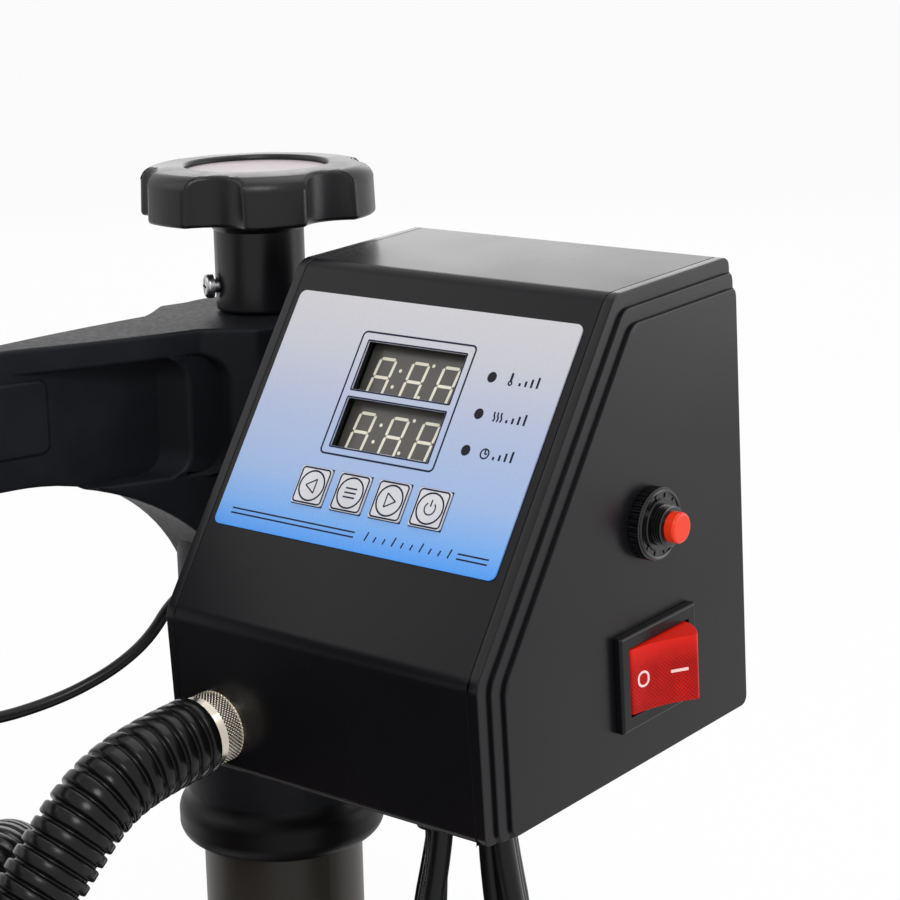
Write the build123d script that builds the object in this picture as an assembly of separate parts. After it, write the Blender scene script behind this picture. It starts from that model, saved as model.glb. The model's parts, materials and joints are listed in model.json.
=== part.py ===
from build123d import *
import math
import os

# Swing-away heat press. X is the operator's right, the operator stands at -Y and Z is up.
# The origin is on the bench under the middle of the base. Sizes are in millimetres.

# Clearances and fits
RUNNING_FIT = 0.05
LOOSE_FIT = 0.3
SEAT_GAP = 0.1

# Base
RAIL_SPREAD = 290.0
RAIL_WIDTH = 40.0
RAIL_HEIGHT = 25.0
RAIL_LENGTH = 520.0
RAIL_WALL = 2.5
FOOT_HEIGHT = 14.0
FOOT_RADIUS = 17.0
FOOT_INSET = 20.0
FOOT_SCREW_RADIUS = 4.0
BENCH_HOLE_RADIUS = 4.5
BENCH_HOLE_INSET = 55.0
BEAM_WIDTH = 110.0
BEAM_WALL = 4.0
POST_PLATE = 8.0
SOCKET_WALL = 8.0
SOCKET_HEIGHT = 35.0
GUSSET_LENGTH = 26.0
GUSSET_THICKNESS = 6.0
STAND_LENGTH = 160.0
STAND_WIDTH = 100.0
STAND_HEIGHT = 50.0
STAND_WALL = 6.0

# Platens
PLATEN_LENGTH = 300.0
PLATEN_DEPTH = 240.0
PLATEN_CORNER = 6.0
LOWER_PLATEN_THICKNESS = 10.0
PAD_THICKNESS = 8.0
PAD_MARGIN = 5.0
OPEN_GAP = 48.0
HEATED_PLATEN_THICKNESS = 16.0
HEATER_RADIUS = 4.0
HEATER_HALF_WIDTH = 90.0
HEATER_HALF_DEPTH = 80.0
HEATER_BEND = 35.0
INSULATION_THICKNESS = 12.0
INSULATION_MARGIN = 10.0
COVER_HEIGHT = 46.0
COVER_WALL = 1.5
COVER_SIDE_GAP = 0.5
STUD_RADIUS = 6.0
PLATEN_SCREW_RADIUS = 3.0

# Post, screw and knob, heights measured from the bottom of the control box
POST_Y = 165.0
BOX_FOOT_HEIGHT = 232.0
POST_RADIUS = 24.0
POST_WALL = 4.0
POST_TOP = 80.0
PLUG_DEPTH = 30.0
SCREW_RADIUS = 8.0
SCREW_BOTTOM = 40.0
THREAD_FIT = 0.05
SLEEVE_RADIUS = 28.0
SLEEVE_BOTTOM = -55.0
BUSH_WALL = 1.2
BUSH_LENGTH = 30.0
SLEEVE_BUSH_BOTTOMS = (-55.0, 20.0)
COLLAR_RADIUS = 31.0
COLLAR_BOTTOM = -60.0
COLLAR_TOP = -44.0
ARM_TOP = 100.7
ARM_ROOF = 9.0
WASHER_THICKNESS = 1.5
WASHER_RADIUS = 18.0
RETAINER_RADIUS = 14.0
RETAINER_THICKNESS = 3.0
NECK_RADIUS = 13.0
NECK_FLARE = 16.0
KNOB_RADIUS = 34.0
KNOB_BOTTOM = 128.3
KNOB_SHOULDER = 138.4
KNOB_TOP = 143.0
KNOB_CROWN_RADIUS = 29.0
KNOB_RIM_RADIUS = 25.5
KNOB_LOBES = 6
KNOB_GROOVE_RADIUS = 12.0
KNOB_GROOVE_DEPTH = 5.2
KNOB_FIRST_GROOVE = 5.0
KNOB_CAP_RADIUS = 20.4
KNOB_CAP_SINK = 1.6
KNOB_CAP_THICKNESS = 1.2
LOCK_SCREW_HEIGHT = 108.4
LOCK_SCREW_ANGLE = 250.0
LOCK_SCREW_RADIUS = 2.0
LOCK_SCREW_HEAD = 3.5

# Arm and head
WEB_HALF = 5.0
FLANGE = 7.3
ARM_BOTTOM = 62.0
SHOULDER_HALF = 26.0
SHOULDER_END = 21.0
FLARE_HALF = 20.0
FLARE_END = 84.0
THROAT_LENGTH = 66.0
THROAT_DROP = 53.0
THROAT_HALF = 16.0
POCKET_REAR = 25.0
POCKET_STEP = 34.5
POCKET_STEP_HALF = 14.0
POCKET_BOTTOM = 60.0
BADGE_START = 74.0
BADGE_LENGTH = 70.0
BADGE_HEIGHT = 21.0
BADGE_THICKNESS = 1.0
ARM_REACH = 295.0
HEAD_WIDEN_START = 120.0
HEAD_BACK = 45.0
HEAD_BACK_WALL = 15.0
HEAD_FRONT = 26.0
HEAD_HALF = 33.0
HEAD_BOTTOM = 36.0
FORK_GAP_HALF = 21.0
BOSS_RADIUS = 13.0
BOSS_BOTTOM = 50.0
BOSS_TOP = 95.0
BOSS_RIB_HALF = 8.0
BOSS_RIB_BOTTOM = 74.0
ROD_RADIUS = 7.0
ROD_SPREAD = 104.0
ROD_TOP = 140.0
GUIDE_BUSH_WALL = 2.0

# Toggle
PIVOT_HEIGHT = 62.0
PIVOT_PIN_RADIUS = 8.0
CRANK_LENGTH = 35.0
LINK_LENGTH = 65.0
HANDLE_TRAVEL = 80.0
HUB_RADIUS = 15.0
HUB_HALF = 20.5
CRANK_EYE_RADIUS = 11.0
CRANK_INNER_HALF = 11.0
CRANK_OUTER_HALF = 19.0
LINK_HALF = 9.7
LINK_EYE_RADIUS = 10.0
LINK_PIN_RADIUS = 6.0
LOWER_PIN_END_HALF = 10.4
LOWER_PIN_HEAD = 9.0
LOWER_PIN_HEAD_THICKNESS = 3.0
BRACKET_BASE = 6.0
BRACKET_HALF_WIDTH = 65.0
BRACKET_HALF_DEPTH = 32.0
BRACKET_CHEEK_RADIUS = 11.0
HANDLE_LEAN = 10.0
LEVER_RADIUS = 8.0
LEVER_LENGTH = 330.0
GRIP_RADIUS = 14.0
GRIP_LENGTH = 125.0
STUD_X = 32.0
STUD_Y = 22.0

# Control box
BOX_WIDTH = 105.0
BOX_DEPTH = 110.3
BOX_HEIGHT = 123.2
BOX_FRONT_HEIGHT = 41.3
BOX_TOP_SETBACK = 60.6
BOX_TURN = 12.0
BOX_DROOP = 3.14
BOX_CORNER = (54.96, -68.34, -4.29)
SHELL_WALL = 1.5
CAP_THICKNESS = 3.0
CAP_STEP_OUT = 1.0
CAP_STEP_IN = 4.0
CAP_RIM_DEPTH = 4.0
CAP_RIM_WALL = 4.5
LABEL_LEFT = 5.1
LABEL_RIGHT = 99.4
LABEL_BOTTOM = 25.7
LABEL_TOP = 93.0
LABEL_THICKNESS = 0.4
LABEL_CORNER = 2.0
WINDOW_LEFT = 34.6
WINDOW_WIDTH = 32.7
WINDOW_HEIGHT = 13.5
WINDOW_BOTTOMS = (51.8, 67.7)
MODULE_MARGIN = 0.6
MODULE_SINK = 3.4
BOARD_SINK = 10.0
KEY_SIZE = 10.4
KEY_PITCH = 13.2
KEY_FIRST_X = 34.0
KEY_HEIGHT = 40.2
KEY_COUNT = 4
KEY_THICKNESS = 0.5
KEY_TRAVEL = 0.4
KEY_PLUNGER_RADIUS = 2.0
KEY_PLUNGER_LENGTH = 2.5
LAMP_X = 77.5
LAMP_HEIGHTS = (56.6, 66.4, 76.3)
LAMP_RADIUS = 1.4
BOARD_THICKNESS = 1.6
BOARD_LEFT = 14.0
BOARD_RIGHT = 94.0
BOARD_BOTTOM = 30.0
BOARD_TOP = 90.0
SPACER_RADIUS = 2.5
SPACER_INSET = 4.0
SWITCH_SIZE = 6.0
SWITCH_HEIGHT = 3.6
FITTING_X = 17.0
FITTING_Z = 13.0
FITTING_RADIUS = 9.6
FITTING_NECK_RADIUS = 8.0
FITTING_LENGTH = 9.0
FITTING_RIM = 1.2
FITTING_KNURL_RADIUS = 9.1
ROCKER_Y = 67.4
ROCKER_Z = 24.9
BEZEL_LENGTH = 33.0
BEZEL_HEIGHT = 25.6
BEZEL_THICKNESS = 2.5
ROCKER_RADIUS = 12.7
ROCKER_FACE = 8.3
ROCKER_AXIS_DEPTH = 1.2
ROCKER_HOLLOW = 1.4
ROCKER_HOLLOW_RADIUS = 34.0
ROCKER_TILT = 24.0
ROCKER_HEIGHT = 17.6
ROCKER_PIN_RADIUS = 1.5
ROCKER_WELL = 9.5
SWITCH_DEPTH = 20.0
BREAKER_Y = 68.1
BREAKER_Z = 63.35
BREAKER_NECK_RADIUS = 4.8
BREAKER_NECK_OUT = 7.4
BREAKER_NUT_RADIUS = 9.4
BREAKER_NUT_THICKNESS = 3.5
BREAKER_NUT_NOTCHES = 36
BREAKER_RING_RADIUS = 6.8
BREAKER_RING_OUT = 4.3
BREAKER_BUTTON_RADIUS = 4.0
BREAKER_BUTTON_OUT = 10.2
BRACKET_PLATE = 4.0
BRACKET_Y = (60.0, 97.0)
BRACKET_Z = (20.0, 80.0)
GLAND_X = 50.7
GLAND_Y = 72.0
GLAND_RADIUS = 7.0
GLAND_LENGTH = 5.0
GROMMET_Y = 28.0
GROMMET_Z = 38.0

# Cords
HOSE_RADIUS = 10.6
HOSE_GROOVE = 9.2
HOSE_BORE = 7.8
HOSE_PITCH = 4.0
HOSE_CREST = 2.0
HOSE_FLANK = 0.5
HOSE_START = 16.0
HOSE_END = 12.0
SENSOR_RADIUS = 1.65
SENSOR_START = 12.0
CORD_RADIUS = 3.25
HANK_WAIST_Z = -30.0
HANK_TURN = 52.0
HANK_ASIDE = 9.0
HANK_LOOPS = 5
HANK_PITCH = 7.8
HANK_WAIST = (7.5, 4.0)
HANK_FOOT = (20.0, 12.0)
HANK_HEAD = (14.0, 12.0)
HANK_FOOT_BEND = (14.0, 9.0)
HANK_HEAD_BEND = (8.8, 7.8)
HANK_WAIST_BEND = 30.0
HANK_UP = 20.0
HANK_DOWN = 74.0
HANK_LEAD = 8.0
HANK_LEAD_BEND = 20.0
HANK_TAIL = 12.0
TIE_WALL = 1.6
TIE_HEIGHT = 8.0
TIE_GAP = 0.8
RELIEF_LENGTH = 16.0
PLUG_LENGTH = 28.0
PLUG_WIDTH = 26.0
PLUG_DEPTH_ACROSS = 22.0
BLADE_LENGTH = 15.0
BLADE_WIDTH = 6.3
BLADE_THICKNESS = 1.5
BLADE_SPREAD = 12.7
GROUND_PIN_RADIUS = 2.4
GROUND_PIN_LENGTH = 18.0
GROUND_PIN_OFFSET = 5.5

# Places that follow from the sizes above
RAIL_TOP = FOOT_HEIGHT + RAIL_HEIGHT
PLATEN_Y = POST_Y - ARM_REACH
LOWER_PLATEN_BOTTOM = RAIL_TOP + STAND_HEIGHT
PAD_BOTTOM = LOWER_PLATEN_BOTTOM + LOWER_PLATEN_THICKNESS
PAD_TOP = PAD_BOTTOM + PAD_THICKNESS
HEATED_BOTTOM = PAD_TOP + OPEN_GAP
HEATED_TOP = HEATED_BOTTOM + HEATED_PLATEN_THICKNESS
COVER_TOP = HEATED_BOTTOM + 5.0 + COVER_HEIGHT
COVER_HALF_LENGTH = PLATEN_LENGTH / 2 + COVER_SIDE_GAP + COVER_WALL
COVER_HALF_DEPTH = PLATEN_DEPTH / 2 + COVER_SIDE_GAP + COVER_WALL
BUSH_OUTER = POST_RADIUS + RUNNING_FIT + BUSH_WALL
PIVOT_Z = BOX_FOOT_HEIGHT + PIVOT_HEIGHT
CRANK_REST = math.radians(HANDLE_TRAVEL)
TOGGLE_REST = CRANK_LENGTH * math.cos(CRANK_REST) + math.sqrt(
    LINK_LENGTH ** 2 - (CRANK_LENGTH * math.sin(CRANK_REST)) ** 2)
CRANK_PIN_Y = PLATEN_Y - CRANK_LENGTH * math.sin(CRANK_REST)
CRANK_PIN_Z = PIVOT_Z - CRANK_LENGTH * math.cos(CRANK_REST)
LOWER_PIN_Z = PIVOT_Z - TOGGLE_REST
SLOPE_ANGLE = math.degrees(math.atan2(BOX_HEIGHT - BOX_FRONT_HEIGHT, BOX_TOP_SETBACK))
CAP_FACE = BOX_WIDTH + 2 * CAP_STEP_OUT
BEZEL_FACE = CAP_FACE + BEZEL_THICKNESS
BOARD_FRONT = LABEL_THICKNESS - BOARD_SINK

# Frames: the machine frame stands on the post's axis, and the box frame is turned out and droops
MACHINE = Pos(0, POST_Y, BOX_FOOT_HEIGHT)
BOX = MACHINE * Pos(*BOX_CORNER) * Rot(0, 0, BOX_TURN) * Rot(BOX_DROOP, 0, 0)
SLOPE = BOX * Pos(0, 0, BOX_FRONT_HEIGHT) * Rot(SLOPE_ANGLE, 0, 0)

os.makedirs("parts", exist_ok=True)


def save(name, *shapes):
    """Write one node, as one solid or as a group of separate solids."""
    solids = [solid for shape in shapes for solid in shape.solids()]
    shape = solids[0] if len(solids) == 1 else Compound(solids)
    export_step(shape, "parts/" + name + ".step")


def block(x, y, z):
    """A box between three pairs of limits."""
    size = (x[1] - x[0], y[1] - y[0], z[1] - z[0])
    return Pos((x[0] + x[1]) / 2, (y[0] + y[1]) / 2, (z[0] + z[1]) / 2) * Box(*size)


def about(middle, half):
    """The pair of limits that lie evenly about a middle."""
    return (middle - half, middle + half)


def rod(axis, radius, ends, at):
    """A cylinder along an axis between two ends, at the other two coordinates in X, Y, Z order."""
    middle = (ends[0] + ends[1]) / 2
    length = ends[1] - ends[0]
    if axis == "X":
        return Pos(middle, at[0], at[1]) * Rot(0, 90, 0) * Cylinder(radius, length)
    if axis == "Y":
        return Pos(at[0], middle, at[1]) * Rot(90, 0, 0) * Cylinder(radius, length)
    return Pos(at[0], at[1], middle) * Cylinder(radius, length)


def ring(outer, inner, ends, at=(0, 0)):
    """An upright ring between two heights."""
    return rod("Z", outer, ends, at) - rod("Z", inner, ends, at)


def side_prism(points, x):
    """A Y, Z outline pulled along X between two limits."""
    return Pos(x[0], 0, 0) * extrude(Plane.YZ * Polygon(*points, align=None), x[1] - x[0])


def plate(width, depth, corner, z, at=(0, 0)):
    """A flat plate with round corners between two heights."""
    outline = Pos(at[0], at[1], z[0]) * RectangleRounded(width, depth, corner)
    return extrude(outline, z[1] - z[0])


def corners(x, y, at=(0, 0)):
    """The four corners of a rectangle, given its half sizes."""
    return [(at[0] + sx * x, at[1] + sy * y) for sx in (-1, 1) for sy in (-1, 1)]


def pan_screw(radius, head, length, head_height):
    """A screw with its head's underside at the origin and its shank going down."""
    shank = rod("Z", radius, (-length, 0), (0, 0))
    top = rod("Z", head, (0, head_height), (0, 0))
    top = fillet(top.faces().sort_by(Axis.Z)[-1].edges(), head_height * 0.5)
    slots = block((-head * 0.6, head * 0.6), (-0.4, 0.4), (head_height * 0.5, head_height + 1))
    return shank + top - slots - Rot(0, 0, 90) * slots


def cord_path(points, label):
    """A route of straight runs joined by arcs as large as the shorter run allows, and its radii in print."""
    points = [Vector(*point) for point in points]
    radii = []
    for before, here, after in zip(points, points[1:], points[2:]):
        turn = math.radians((here - before).get_angle(after - here))
        shorter = min((here - before).length, (after - here).length)
        radii.append(0.45 * shorter / math.tan(turn / 2))
    print(label, "arc radii", [round(radius, 1) for radius in radii])
    return FilletPolyline(*points, radius=radii)


def tube(path, radius, label):
    """A round cord swept along its path, its volume compared with section times length."""
    start = Plane(origin=path @ 0, z_dir=path % 0)
    solid = sweep(start * Circle(radius), path=path)
    expected = math.pi * radius ** 2 * path.length
    print(label, "length", round(path.length, 1), "volume ratio", round(solid.volume / expected, 4))
    return solid


# Base

RAIL_X = RAIL_SPREAD / 2
RAIL_INNER = RAIL_X - RAIL_WIDTH / 2
FOOT_Y = RAIL_LENGTH / 2 - FOOT_INSET
BENCH_Y = RAIL_LENGTH / 2 - BENCH_HOLE_INSET
FEET = corners(RAIL_X, FOOT_Y)
STAND_SCREWS = corners(STAND_LENGTH / 2 - 20, STAND_WIDTH / 2 - 18, (0, PLATEN_Y))
POST_BOTTOM = RAIL_TOP + POST_PLATE


def beam(y):
    """A pressed cross beam, open below, between the rails."""
    half = BEAM_WIDTH / 2
    outer = block((-RAIL_INNER, RAIL_INNER), (y - half, y + half), (FOOT_HEIGHT, RAIL_TOP))
    hollow_y = (y - half + BEAM_WALL, y + half - BEAM_WALL)
    inner = block((-RAIL_INNER, RAIL_INNER), hollow_y, (FOOT_HEIGHT, RAIL_TOP - BEAM_WALL))
    return outer - inner


def base_frame():
    rail = block(about(RAIL_X, RAIL_WIDTH / 2), about(0, RAIL_LENGTH / 2), (FOOT_HEIGHT, RAIL_TOP))
    rail -= block((RAIL_INNER + RAIL_WALL, RAIL_INNER + RAIL_WIDTH - RAIL_WALL),
                  (-RAIL_LENGTH / 2, RAIL_LENGTH / 2), (FOOT_HEIGHT + RAIL_WALL, RAIL_TOP - RAIL_WALL))
    frame = rail + mirror(rail, about=Plane.YZ) + beam(POST_Y) + beam(PLATEN_Y)
    reach = SOCKET_WALL + POST_RADIUS
    width = 2 * (reach + GUSSET_LENGTH)
    frame += plate(width, BEAM_WIDTH, PLATEN_CORNER, (RAIL_TOP, POST_BOTTOM), (0, POST_Y))
    frame += rod("Z", reach, (POST_BOTTOM, POST_BOTTOM + SOCKET_HEIGHT), (0, POST_Y))
    for side in (-1, 1):
        foot = side * (reach + GUSSET_LENGTH)
        wall = side * (reach - SOCKET_WALL / 2)
        outline = [(foot, POST_BOTTOM), (wall, POST_BOTTOM), (wall, POST_BOTTOM + SOCKET_HEIGHT - 4)]
        web = extrude(Plane.XZ * Polygon(*outline, align=None), GUSSET_THICKNESS / 2, both=True)
        frame += Pos(0, POST_Y, 0) * web
    frame -= rod("Z", POST_RADIUS, (POST_BOTTOM, POST_BOTTOM + SOCKET_HEIGHT), (0, POST_Y))
    stand = block(about(0, STAND_LENGTH / 2), about(PLATEN_Y, STAND_WIDTH / 2),
                  (RAIL_TOP, LOWER_PLATEN_BOTTOM))
    stand -= block((-STAND_LENGTH / 2 + STAND_WALL, STAND_LENGTH / 2 - STAND_WALL),
                   (PLATEN_Y - STAND_WIDTH / 2, PLATEN_Y + STAND_WIDTH / 2),
                   (RAIL_TOP, LOWER_PLATEN_BOTTOM - STAND_WALL))
    frame += stand
    for x, y in corners(RAIL_X, BENCH_Y):
        frame -= rod("Z", BENCH_HOLE_RADIUS, (FOOT_HEIGHT, RAIL_TOP), (x, y))
    for x, y in FEET:
        frame -= rod("Z", FOOT_SCREW_RADIUS, (FOOT_HEIGHT, FOOT_HEIGHT + RAIL_WALL), (x, y))
    for x, y in STAND_SCREWS:
        ends = (LOWER_PLATEN_BOTTOM - STAND_WALL, LOWER_PLATEN_BOTTOM)
        frame -= rod("Z", PLATEN_SCREW_RADIUS, ends, (x, y))
    return frame


def rail_end_caps():
    """Plugs in the open ends of the rails."""
    width = RAIL_WIDTH - 2 * RAIL_WALL
    height = RAIL_HEIGHT - 2 * RAIL_WALL
    caps = []
    for x, end in ((sx * RAIL_X, sy) for sx in (-1, 1) for sy in (-1, 1)):
        y = sorted((end * RAIL_LENGTH / 2, end * (RAIL_LENGTH / 2 - 12)))
        caps.append(block((x - width / 2, x + width / 2), y,
                          (FOOT_HEIGHT + RAIL_WALL, FOOT_HEIGHT + RAIL_WALL + height)))
    return caps


def rubber_feet():
    """Tapered feet, each with the recess that its screw sits in."""
    feet = []
    for x, y in FEET:
        foot = Pos(x, y, FOOT_HEIGHT / 2) * Cone(FOOT_RADIUS, FOOT_RADIUS - 3, FOOT_HEIGHT)
        foot -= rod("Z", FOOT_SCREW_RADIUS, (0, FOOT_HEIGHT), (x, y))
        foot -= rod("Z", 2 * FOOT_SCREW_RADIUS, (0, FOOT_HEIGHT / 2), (x, y))
        feet.append(foot)
    return feet


def foot_screws():
    screw = Rot(180, 0, 0) * pan_screw(FOOT_SCREW_RADIUS, 2 * FOOT_SCREW_RADIUS - 0.5,
                                       FOOT_HEIGHT / 2 + RAIL_WALL, 3.5)
    return [Pos(x, y, FOOT_HEIGHT / 2) * screw for x, y in FEET]


def lower_platen():
    lower_z = (LOWER_PLATEN_BOTTOM, PAD_BOTTOM)
    lower = plate(PLATEN_LENGTH, PLATEN_DEPTH, PLATEN_CORNER, lower_z, (0, PLATEN_Y))
    for x, y in STAND_SCREWS:
        lower -= rod("Z", PLATEN_SCREW_RADIUS, (LOWER_PLATEN_BOTTOM, PAD_BOTTOM - 2), (x, y))
    return lower


def silicone_pad():
    return plate(PLATEN_LENGTH - 2 * PAD_MARGIN, PLATEN_DEPTH - 2 * PAD_MARGIN, PLATEN_CORNER,
                 (PAD_BOTTOM, PAD_TOP), (0, PLATEN_Y))


def lower_platen_screws():
    """Screws that come up through the stand into the lower platen."""
    length = STAND_WALL + LOWER_PLATEN_THICKNESS - 2
    screw = Rot(180, 0, 0) * pan_screw(PLATEN_SCREW_RADIUS, 2 * PLATEN_SCREW_RADIUS, length, 4)
    return [Pos(x, y, LOWER_PLATEN_BOTTOM - STAND_WALL) * screw for x, y in STAND_SCREWS]


save("base_frame", base_frame())
save("rail_end_caps", *rail_end_caps())
save("rubber_feet", *rubber_feet())
save("lower_platen", lower_platen())
save("silicone_pad", silicone_pad())
save("base_screws", *foot_screws(), *lower_platen_screws())


# Post, adjusting screw and knob

WASHER_TOP = ARM_TOP - ARM_ROOF - SEAT_GAP
WASHER_BOTTOM = WASHER_TOP - WASHER_THICKNESS
RETAINER_TOP = WASHER_BOTTOM - SEAT_GAP


def post_tube():
    post = rod("Z", POST_RADIUS, (POST_BOTTOM - BOX_FOOT_HEIGHT, POST_TOP), (0, 0))
    return post - rod("Z", POST_RADIUS - POST_WALL, (POST_BOTTOM - BOX_FOOT_HEIGHT, POST_TOP), (0, 0))


def post_plug():
    """The threaded plug in the top of the post."""
    plug = rod("Z", POST_RADIUS - POST_WALL, (POST_TOP - PLUG_DEPTH, POST_TOP), (0, 0))
    return plug - rod("Z", SCREW_RADIUS + THREAD_FIT, (POST_TOP - PLUG_DEPTH, POST_TOP), (0, 0))


def thrust_washer():
    return ring(WASHER_RADIUS, SCREW_RADIUS + RUNNING_FIT, (WASHER_BOTTOM, WASHER_TOP))


def adjusting_screw():
    """The screw, with the retaining shoulder that carries the arm."""
    screw = rod("Z", SCREW_RADIUS, (SCREW_BOTTOM, KNOB_BOTTOM), (0, 0))
    return screw + rod("Z", RETAINER_RADIUS, (RETAINER_TOP - RETAINER_THICKNESS, RETAINER_TOP), (0, 0))


def lock_screw_place():
    return Rot(0, 0, LOCK_SCREW_ANGLE) * Pos(NECK_RADIUS + 1.2, 0, LOCK_SCREW_HEIGHT) * Rot(0, 90, 0)


def pressure_knob():
    """The lobed knob on its neck."""
    neck_bottom = ARM_TOP + LOOSE_FIT
    with BuildSketch(Plane.XZ) as profile:
        with BuildLine():
            Polyline((0, neck_bottom), (NECK_RADIUS, neck_bottom), (NECK_RADIUS, KNOB_BOTTOM - 4))
            Line((NECK_RADIUS, KNOB_BOTTOM - 4), (NECK_FLARE, KNOB_BOTTOM))
            Line((NECK_FLARE, KNOB_BOTTOM), (KNOB_RADIUS, KNOB_BOTTOM))
            Line((KNOB_RADIUS, KNOB_BOTTOM), (KNOB_RADIUS - 0.4, KNOB_SHOULDER))
            ThreePointArc((KNOB_RADIUS - 0.4, KNOB_SHOULDER), (KNOB_RADIUS - 1.8, KNOB_TOP - 1.7),
                          (KNOB_CROWN_RADIUS, KNOB_TOP - 0.4))
            Polyline((KNOB_CROWN_RADIUS, KNOB_TOP - 0.4), (KNOB_RIM_RADIUS, KNOB_TOP), (0, KNOB_TOP),
                     (0, neck_bottom))
        make_face()
    knob = revolve(profile.sketch, Axis.Z)
    reach = KNOB_RADIUS + KNOB_GROOVE_RADIUS - KNOB_GROOVE_DEPTH
    for lobe in range(KNOB_LOBES):
        turn = Rot(0, 0, KNOB_FIRST_GROOVE + lobe * 360 / KNOB_LOBES)
        knob -= turn * rod("Z", KNOB_GROOVE_RADIUS, (KNOB_BOTTOM, KNOB_TOP), (reach, 0))
    knob -= rod("Z", SCREW_RADIUS, (neck_bottom, KNOB_BOTTOM), (0, 0))
    knob -= rod("Z", KNOB_CAP_RADIUS, (KNOB_TOP - KNOB_CAP_SINK - KNOB_CAP_THICKNESS, KNOB_TOP), (0, 0))
    return knob - lock_screw_place() * rod("Z", LOCK_SCREW_RADIUS, (-NECK_RADIUS, 0), (0, 0))


def knob_cap():
    top = KNOB_TOP - KNOB_CAP_SINK
    cap = rod("Z", KNOB_CAP_RADIUS, (top - KNOB_CAP_THICKNESS, top), (0, 0))
    return fillet(cap.faces().sort_by(Axis.Z)[-1].edges(), 0.3)


def knob_lock_screw():
    length = NECK_RADIUS + 1.2 - SCREW_RADIUS
    return lock_screw_place() * pan_screw(LOCK_SCREW_RADIUS, LOCK_SCREW_HEAD, length, 2.4)


save("post_tube", MACHINE * post_tube())
save("post_plug", MACHINE * post_plug())
save("thrust_washer", MACHINE * thrust_washer())
save("adjusting_screw", MACHINE * adjusting_screw())
save("pressure_knob", MACHINE * pressure_knob())
save("knob_cap", MACHINE * knob_cap())
save("knob_lock_screw", MACHINE * knob_lock_screw())


# Arm

HEAD_REAR = -ARM_REACH + HEAD_BACK
HEAD_NOSE = -ARM_REACH - HEAD_FRONT
ROD_X = ROD_SPREAD / 2


def half_plan(points, middle):
    """Half of the arm seen from above, from the sleeve to the head, and its mirror image."""
    with BuildSketch() as plan:
        with BuildLine():
            Polyline((0, 0), *points[:-1])
            ThreePointArc(points[-2], middle, points[-1])
            Line(points[-1], (WEB_HALF, -HEAD_WIDEN_START))
            middle_y = -(HEAD_WIDEN_START - HEAD_REAR) / 2 - 10
            ThreePointArc((WEB_HALF, -HEAD_WIDEN_START), (WEB_HALF + 6, middle_y), (HEAD_HALF - 8, HEAD_REAR))
            Polyline((HEAD_HALF - 8, HEAD_REAR), (0, HEAD_REAR), (0, 0))
        make_face()
    return plan.sketch + mirror(plan.sketch, about=Plane.YZ)


def upper_plan():
    """The arm above its pocket floor: broad shoulders that draw in quickly to the web."""
    shoulder = [(SHOULDER_HALF, 0), (SHOULDER_HALF, -SHOULDER_END + 2), (SHOULDER_HALF - 2, -SHOULDER_END),
                (FLARE_HALF, -SHOULDER_END - 4)]
    return half_plan(shoulder + [(WEB_HALF, -FLARE_END + 20)], (10.5, -38.5))


def lower_plan():
    """The arm below its pocket floor, which stays broad for longer."""
    root = [(THROAT_HALF, 0), (THROAT_HALF, -SHOULDER_END)]
    return half_plan(root + [(WEB_HALF, -FLARE_END)], (12.6, -48.0))


def arm_side():
    """The arm seen from the side, with the round throat under it."""
    throat_z = ARM_BOTTOM - THROAT_DROP
    crown_y = -FLARE_END - 1
    with BuildSketch(Plane.YZ) as side:
        with BuildLine():
            Polyline((0, ARM_TOP), (0, throat_z), (crown_y + THROAT_LENGTH, throat_z))
            EllipticalCenterArc((crown_y, throat_z), THROAT_LENGTH, THROAT_DROP, start_angle=0, arc_size=90)
            Polyline((crown_y, ARM_BOTTOM), (HEAD_REAR, ARM_BOTTOM), (HEAD_REAR, ARM_TOP), (0, ARM_TOP))
        make_face()
    return side.sketch


def side_pocket(start, half, end):
    """The hollow beside the web, right side, from a rear wall forwards and outwards from a half width."""
    pocket = block((half, SHOULDER_HALF + 5), (-end, -start), (POCKET_BOTTOM, ARM_TOP - FLANGE))
    rear = pocket.edges().filter_by(Axis.X).group_by(Axis.Y)[-1]
    return fillet(rear, 7.0)


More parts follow.
